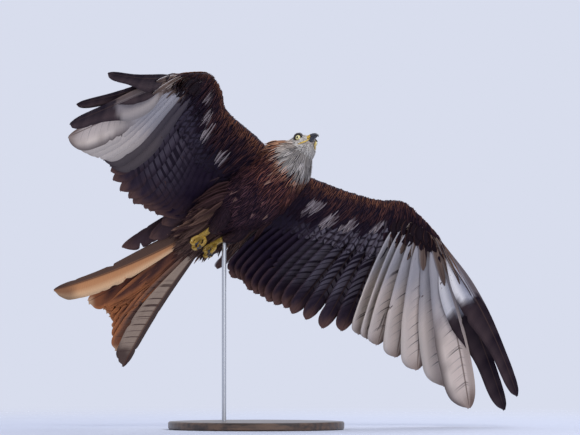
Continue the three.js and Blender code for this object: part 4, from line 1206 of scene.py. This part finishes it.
# hackles: long narrow pale feathers with dark centres from the head down over the neck
hackles = dict(count=700, low=-34, high=-4, shortest=14, longest=24)
n = hackles["count"]
x, share = draw.uniform(hackles["low"], hackles["high"], n), draw.uniform(0, 1, n)
a = share * 2 * np.pi
throat = smooth(-0.2, -0.8, np.sin(a))
long = draw.uniform(hackles["shortest"], hackles["longest"], n) * (1 + 0.35 * throat)
points, length, _ = laid(
    nape, x, a, x - long * 0.95, a + draw.normal(0, 0.07, n), -0.2, draw.uniform(1.2, 3.4, n) + 1.5 * throat,
    "lance", draw.uniform(1.2, 2.0, n), rows=7, tilt=draw.normal(0, 0.2, n), thick=0.1, ridge=0.1,
    curl=draw.normal(0.01, 0.02, n))
luck, waves = draw.uniform(0, 1, n), np.maximum(0, ripple(4.6 * a + 0.05 * x))
warm = smooth(-36, -52, x - long * 0.6 + 6 * luck)
ground = paint("807875", "ded0c4", luck ** 1.3 * (1 - 0.55 * throat)) * (1 - 0.45 * waves)[:, None]
ground = paint(ground, "5c5552", 0.7 * throat * (1 - luck), "d6bca8", 0.4 * smooth(0.2, 0.6, np.sin(a)),
               "a07056", warm * 0.85)
addPlumes("hackles", points, ground, paint("322d31", "1e141e", warm),
          0.6 + 0.25 * luck + 0.15 * np.maximum(warm, throat), length, "plumage_head", (x + 36) / 32, share)

# eyes: a ball whose front has the iris and pupil as rings round its aim, under a clear wet coat
m = Material("eyeYellow", Roughness=0.08, Coat_Weight=1.0, Coat_Roughness=0.03)
ring = m.attribute("ring")
iris = m.mixed(m.between(m.lineNoise(m.attribute("turning"), 5.0, 3.0, 0.6), 0.3, 0.7), "c8ba70", "e8e2ac")
iris = m.mixed(m.between(ring, 0.82, 1.02), iris, "967c3c")
iris = m.mixed(m.between(ring, 1.02, 1.1), iris, "1a1412")
m.set(Base_Color=m.mixed(m.between(ring, 0.3, 0.35), "060608", iris))
eyeMaterial = m.made

m = Material("eyelidSkin", Roughness=0.5, Specular_IOR_Level=0.2)
wrinkle = m.noise(1400.0)
m.set(Base_Color=m.mixed(m.between(m.attribute("share"), 0.12, 0.6), m.mixed(wrinkle, "141113", "2e2828"),
                         "706a6a"))
m.bump(wrinkle, 0.0003, 0.5)
lidMaterial = m.made
lidRing = dict(reach=10.5, sunk=-1.8, brow=0.5, feathers=420, shortest=1.8, longest=3.0)

for side, handed in sides.items():
    aim, centre = eyeAims[side], eyeSpots[side]
    high = unit(np.array([0, 0, 1.0]) - aim * aim[2])
    wide = np.cross(high, aim)
    tilt, spin = np.linspace(0.0, np.pi, 26)[:, None], circle(36)[None]
    cornea = 1 + 0.05 * np.exp(-(tilt / 0.75) ** 2)  # stands out a little
    ball = centre + eye["radius"] * cornea[..., None] * around(tilt, aim, around(spin, wide, high))
    values = {"ring": np.append(tilt[1:-1] + 0 * spin, [0.0, np.pi]),
              "turning": np.append(np.abs(spin - np.pi) * 4 + 0 * tilt[1:-1], [0, 0])}
    dress(addMesh(f"eyeball_{handed}", onHead(closeTube(ball[1:-1], [ball[0, 0], ball[-1, 0]])),
                  [f[:, ::-1] for f in tubeFaces(24, 36)], eyeMaterial, values), "eye", f"eye_{handed}")

    def lidPoint(u, v, lift):
        # a mound of skin round the eye: u 0 is the lid's edge on the ball, 1 is just under the head's surface
        opening = 1.1 - 0.2 * np.clip(np.sin(v), 0, 1) ** 0.8 + 0.03 * np.clip(-np.sin(v), 0, 1)
        off = eye["radius"] * np.sin(opening) * (1 - u) + lidRing["reach"] * u
        brow = lidRing["brow"] * np.exp(-((u - 0.25) / 0.22) ** 2) * np.clip(np.sin(v + 0.25), 0, 1)
        fold = 0.22 * np.sin(u * 26) * smooth(0.5, 0.3, u) * smooth(0, 0.06, u)
        rim = eye["radius"] * np.cos(opening) + 0.55
        out = rim * (1 - u ** 1.4) + lidRing["sunk"] * u ** 1.4 + brow + fold + lift
        return centre + out[..., None] * aim + off[..., None] * around(v, wide, high)

    spin = circle(64)[None]
    share = np.append(0.0, np.linspace(0, 1, 22) ** 1.3)[:, None] + 0 * spin
    rings = lidPoint(share, spin + 0 * share, np.append(-0.7, np.zeros(22))[:, None])
    dress(addMesh(f"eyelids_{handed}", onHead(rings), [gridFaces(23, 64)], lidMaterial, {"share": share}),
          "plumage_head")

    n, backward = lidRing["feathers"], np.array([-0.7, 0, -0.1])
    u, v = draw.uniform(0.14, 0.98, n), draw.uniform(0, 2 * np.pi, n)
    root = lidPoint(u, v, -0.1)
    outward = aim + 0.5 * unit(root - centre)
    flow = unit(0.75 * around(v, wide, high) + backward - aim * (aim @ backward))
    long = draw.uniform(lidRing["shortest"], lidRing["longest"], n)[:, None]
    tip = lidPoint(u, v, 0.9) + flow * long - aim * 0.35 * u[:, None]
    points = onHead(vaneSet(root, tip, np.cross(outward, flow), outward, "lance", draw.uniform(0.55, 0.9, n),
                            4, 3, thick=0.08, ridge=0.05))
    ground = paint("464042", "b0abaa", np.clip(u * 1.1 - 0.25 + draw.uniform(-0.15, 0.15, n), 0, 1))
    addPlumes(f"coat_eye_{handed}", points, ground, "302b2e", 0.6, 2.6, "plumage_head", u, v / 6.2832)

# the gape: a soft yellow edge that runs back from the bill under the eye
cereYellow = grained("cereYellow", (260.0, 3.0), (0.3, 0.7), ("cca434", "e8c65c"), None, 0.0004, 0.5,
                     Roughness=0.38, Coat_Weight=0.2)
for side, handed in sides.items():
    path = [[11, 20.4 * side, -9.2], [19, 17.2 * side, -9.0], [28, 11.2 * side, -7.9], [33, 9.2 * side, -7.0],
            [38, 7.8 * side, -6.3]]
    rings = tubeAlong(path, lambda t: 0.4 + 0.95 * np.sin(np.pi * np.clip(t, 0.02, 0.98)) ** 0.6, 24, 10)
    dress(addMesh(f"gape_{handed}", onHead(closeTube(rings)), tubeFaces(24, 10), cereYellow), "yellow_skin")

# the CAD nodes that stay: scaly feet, horn of bill and claws, the stand's wood and steel
m = Material("yellowSkin", Roughness=0.42, Coat_Weight=0.15)
edges = m.add("TexVoronoi", Vector=m.place(), Scale=640.0).outputs["Distance"]
patchy = m.mixed(m.between(m.noise(90.0, 3.0), 0.3, 0.7), "a8862c", "cca842")
m.set(Base_Color=m.mixed(m.between(edges, 0.35, 0.75), patchy, "92722e"))
m.bump(m.calc("SUBTRACT", 1.0, edges), 0.0007, 0.8)
billHorn = grained("billHorn", (160.0, 4.0, 0.6), (0.3, 0.7), ("26262c", "46464c"), (0.2, 0.8, 0.24, 0.42),
                   0.0003, 0.4, Coat_Weight=0.12, Coat_Roughness=0.3)
darkWood = grained("darkWood", (2.2, 5.0, 0.62), (0.36, 0.64), ("2e221c", "604836"), (0.2, 0.8, 0.34, 0.5),
                   0.0004, 0.3, stretch=(4.0, 40.0, 40.0), Coat_Weight=0.25, Coat_Roughness=0.25)
brushedSteel = grained("brushedSteel", (1.0, 2.0), None, ("b0b2b6", "ced0d4"), (0.3, 0.7, 0.24, 0.4), 0.0001,
                       0.3, stretch=(900.0, 900.0, 14.0), Metallic=1.0)
finishes = {"cere": cereYellow, "bill": billHorn, "claw": billHorn, "foot": m.made, "stand_base": darkWood,
            "stand_rod": brushedSteel}
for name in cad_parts:
    for start, material in finishes.items():
        if name.startswith(start) and name in bpy.data.objects:
            materials = bpy.data.objects[name].data.materials
            materials.clear()
            materials.append(material)

print("head, feet and stand finished")
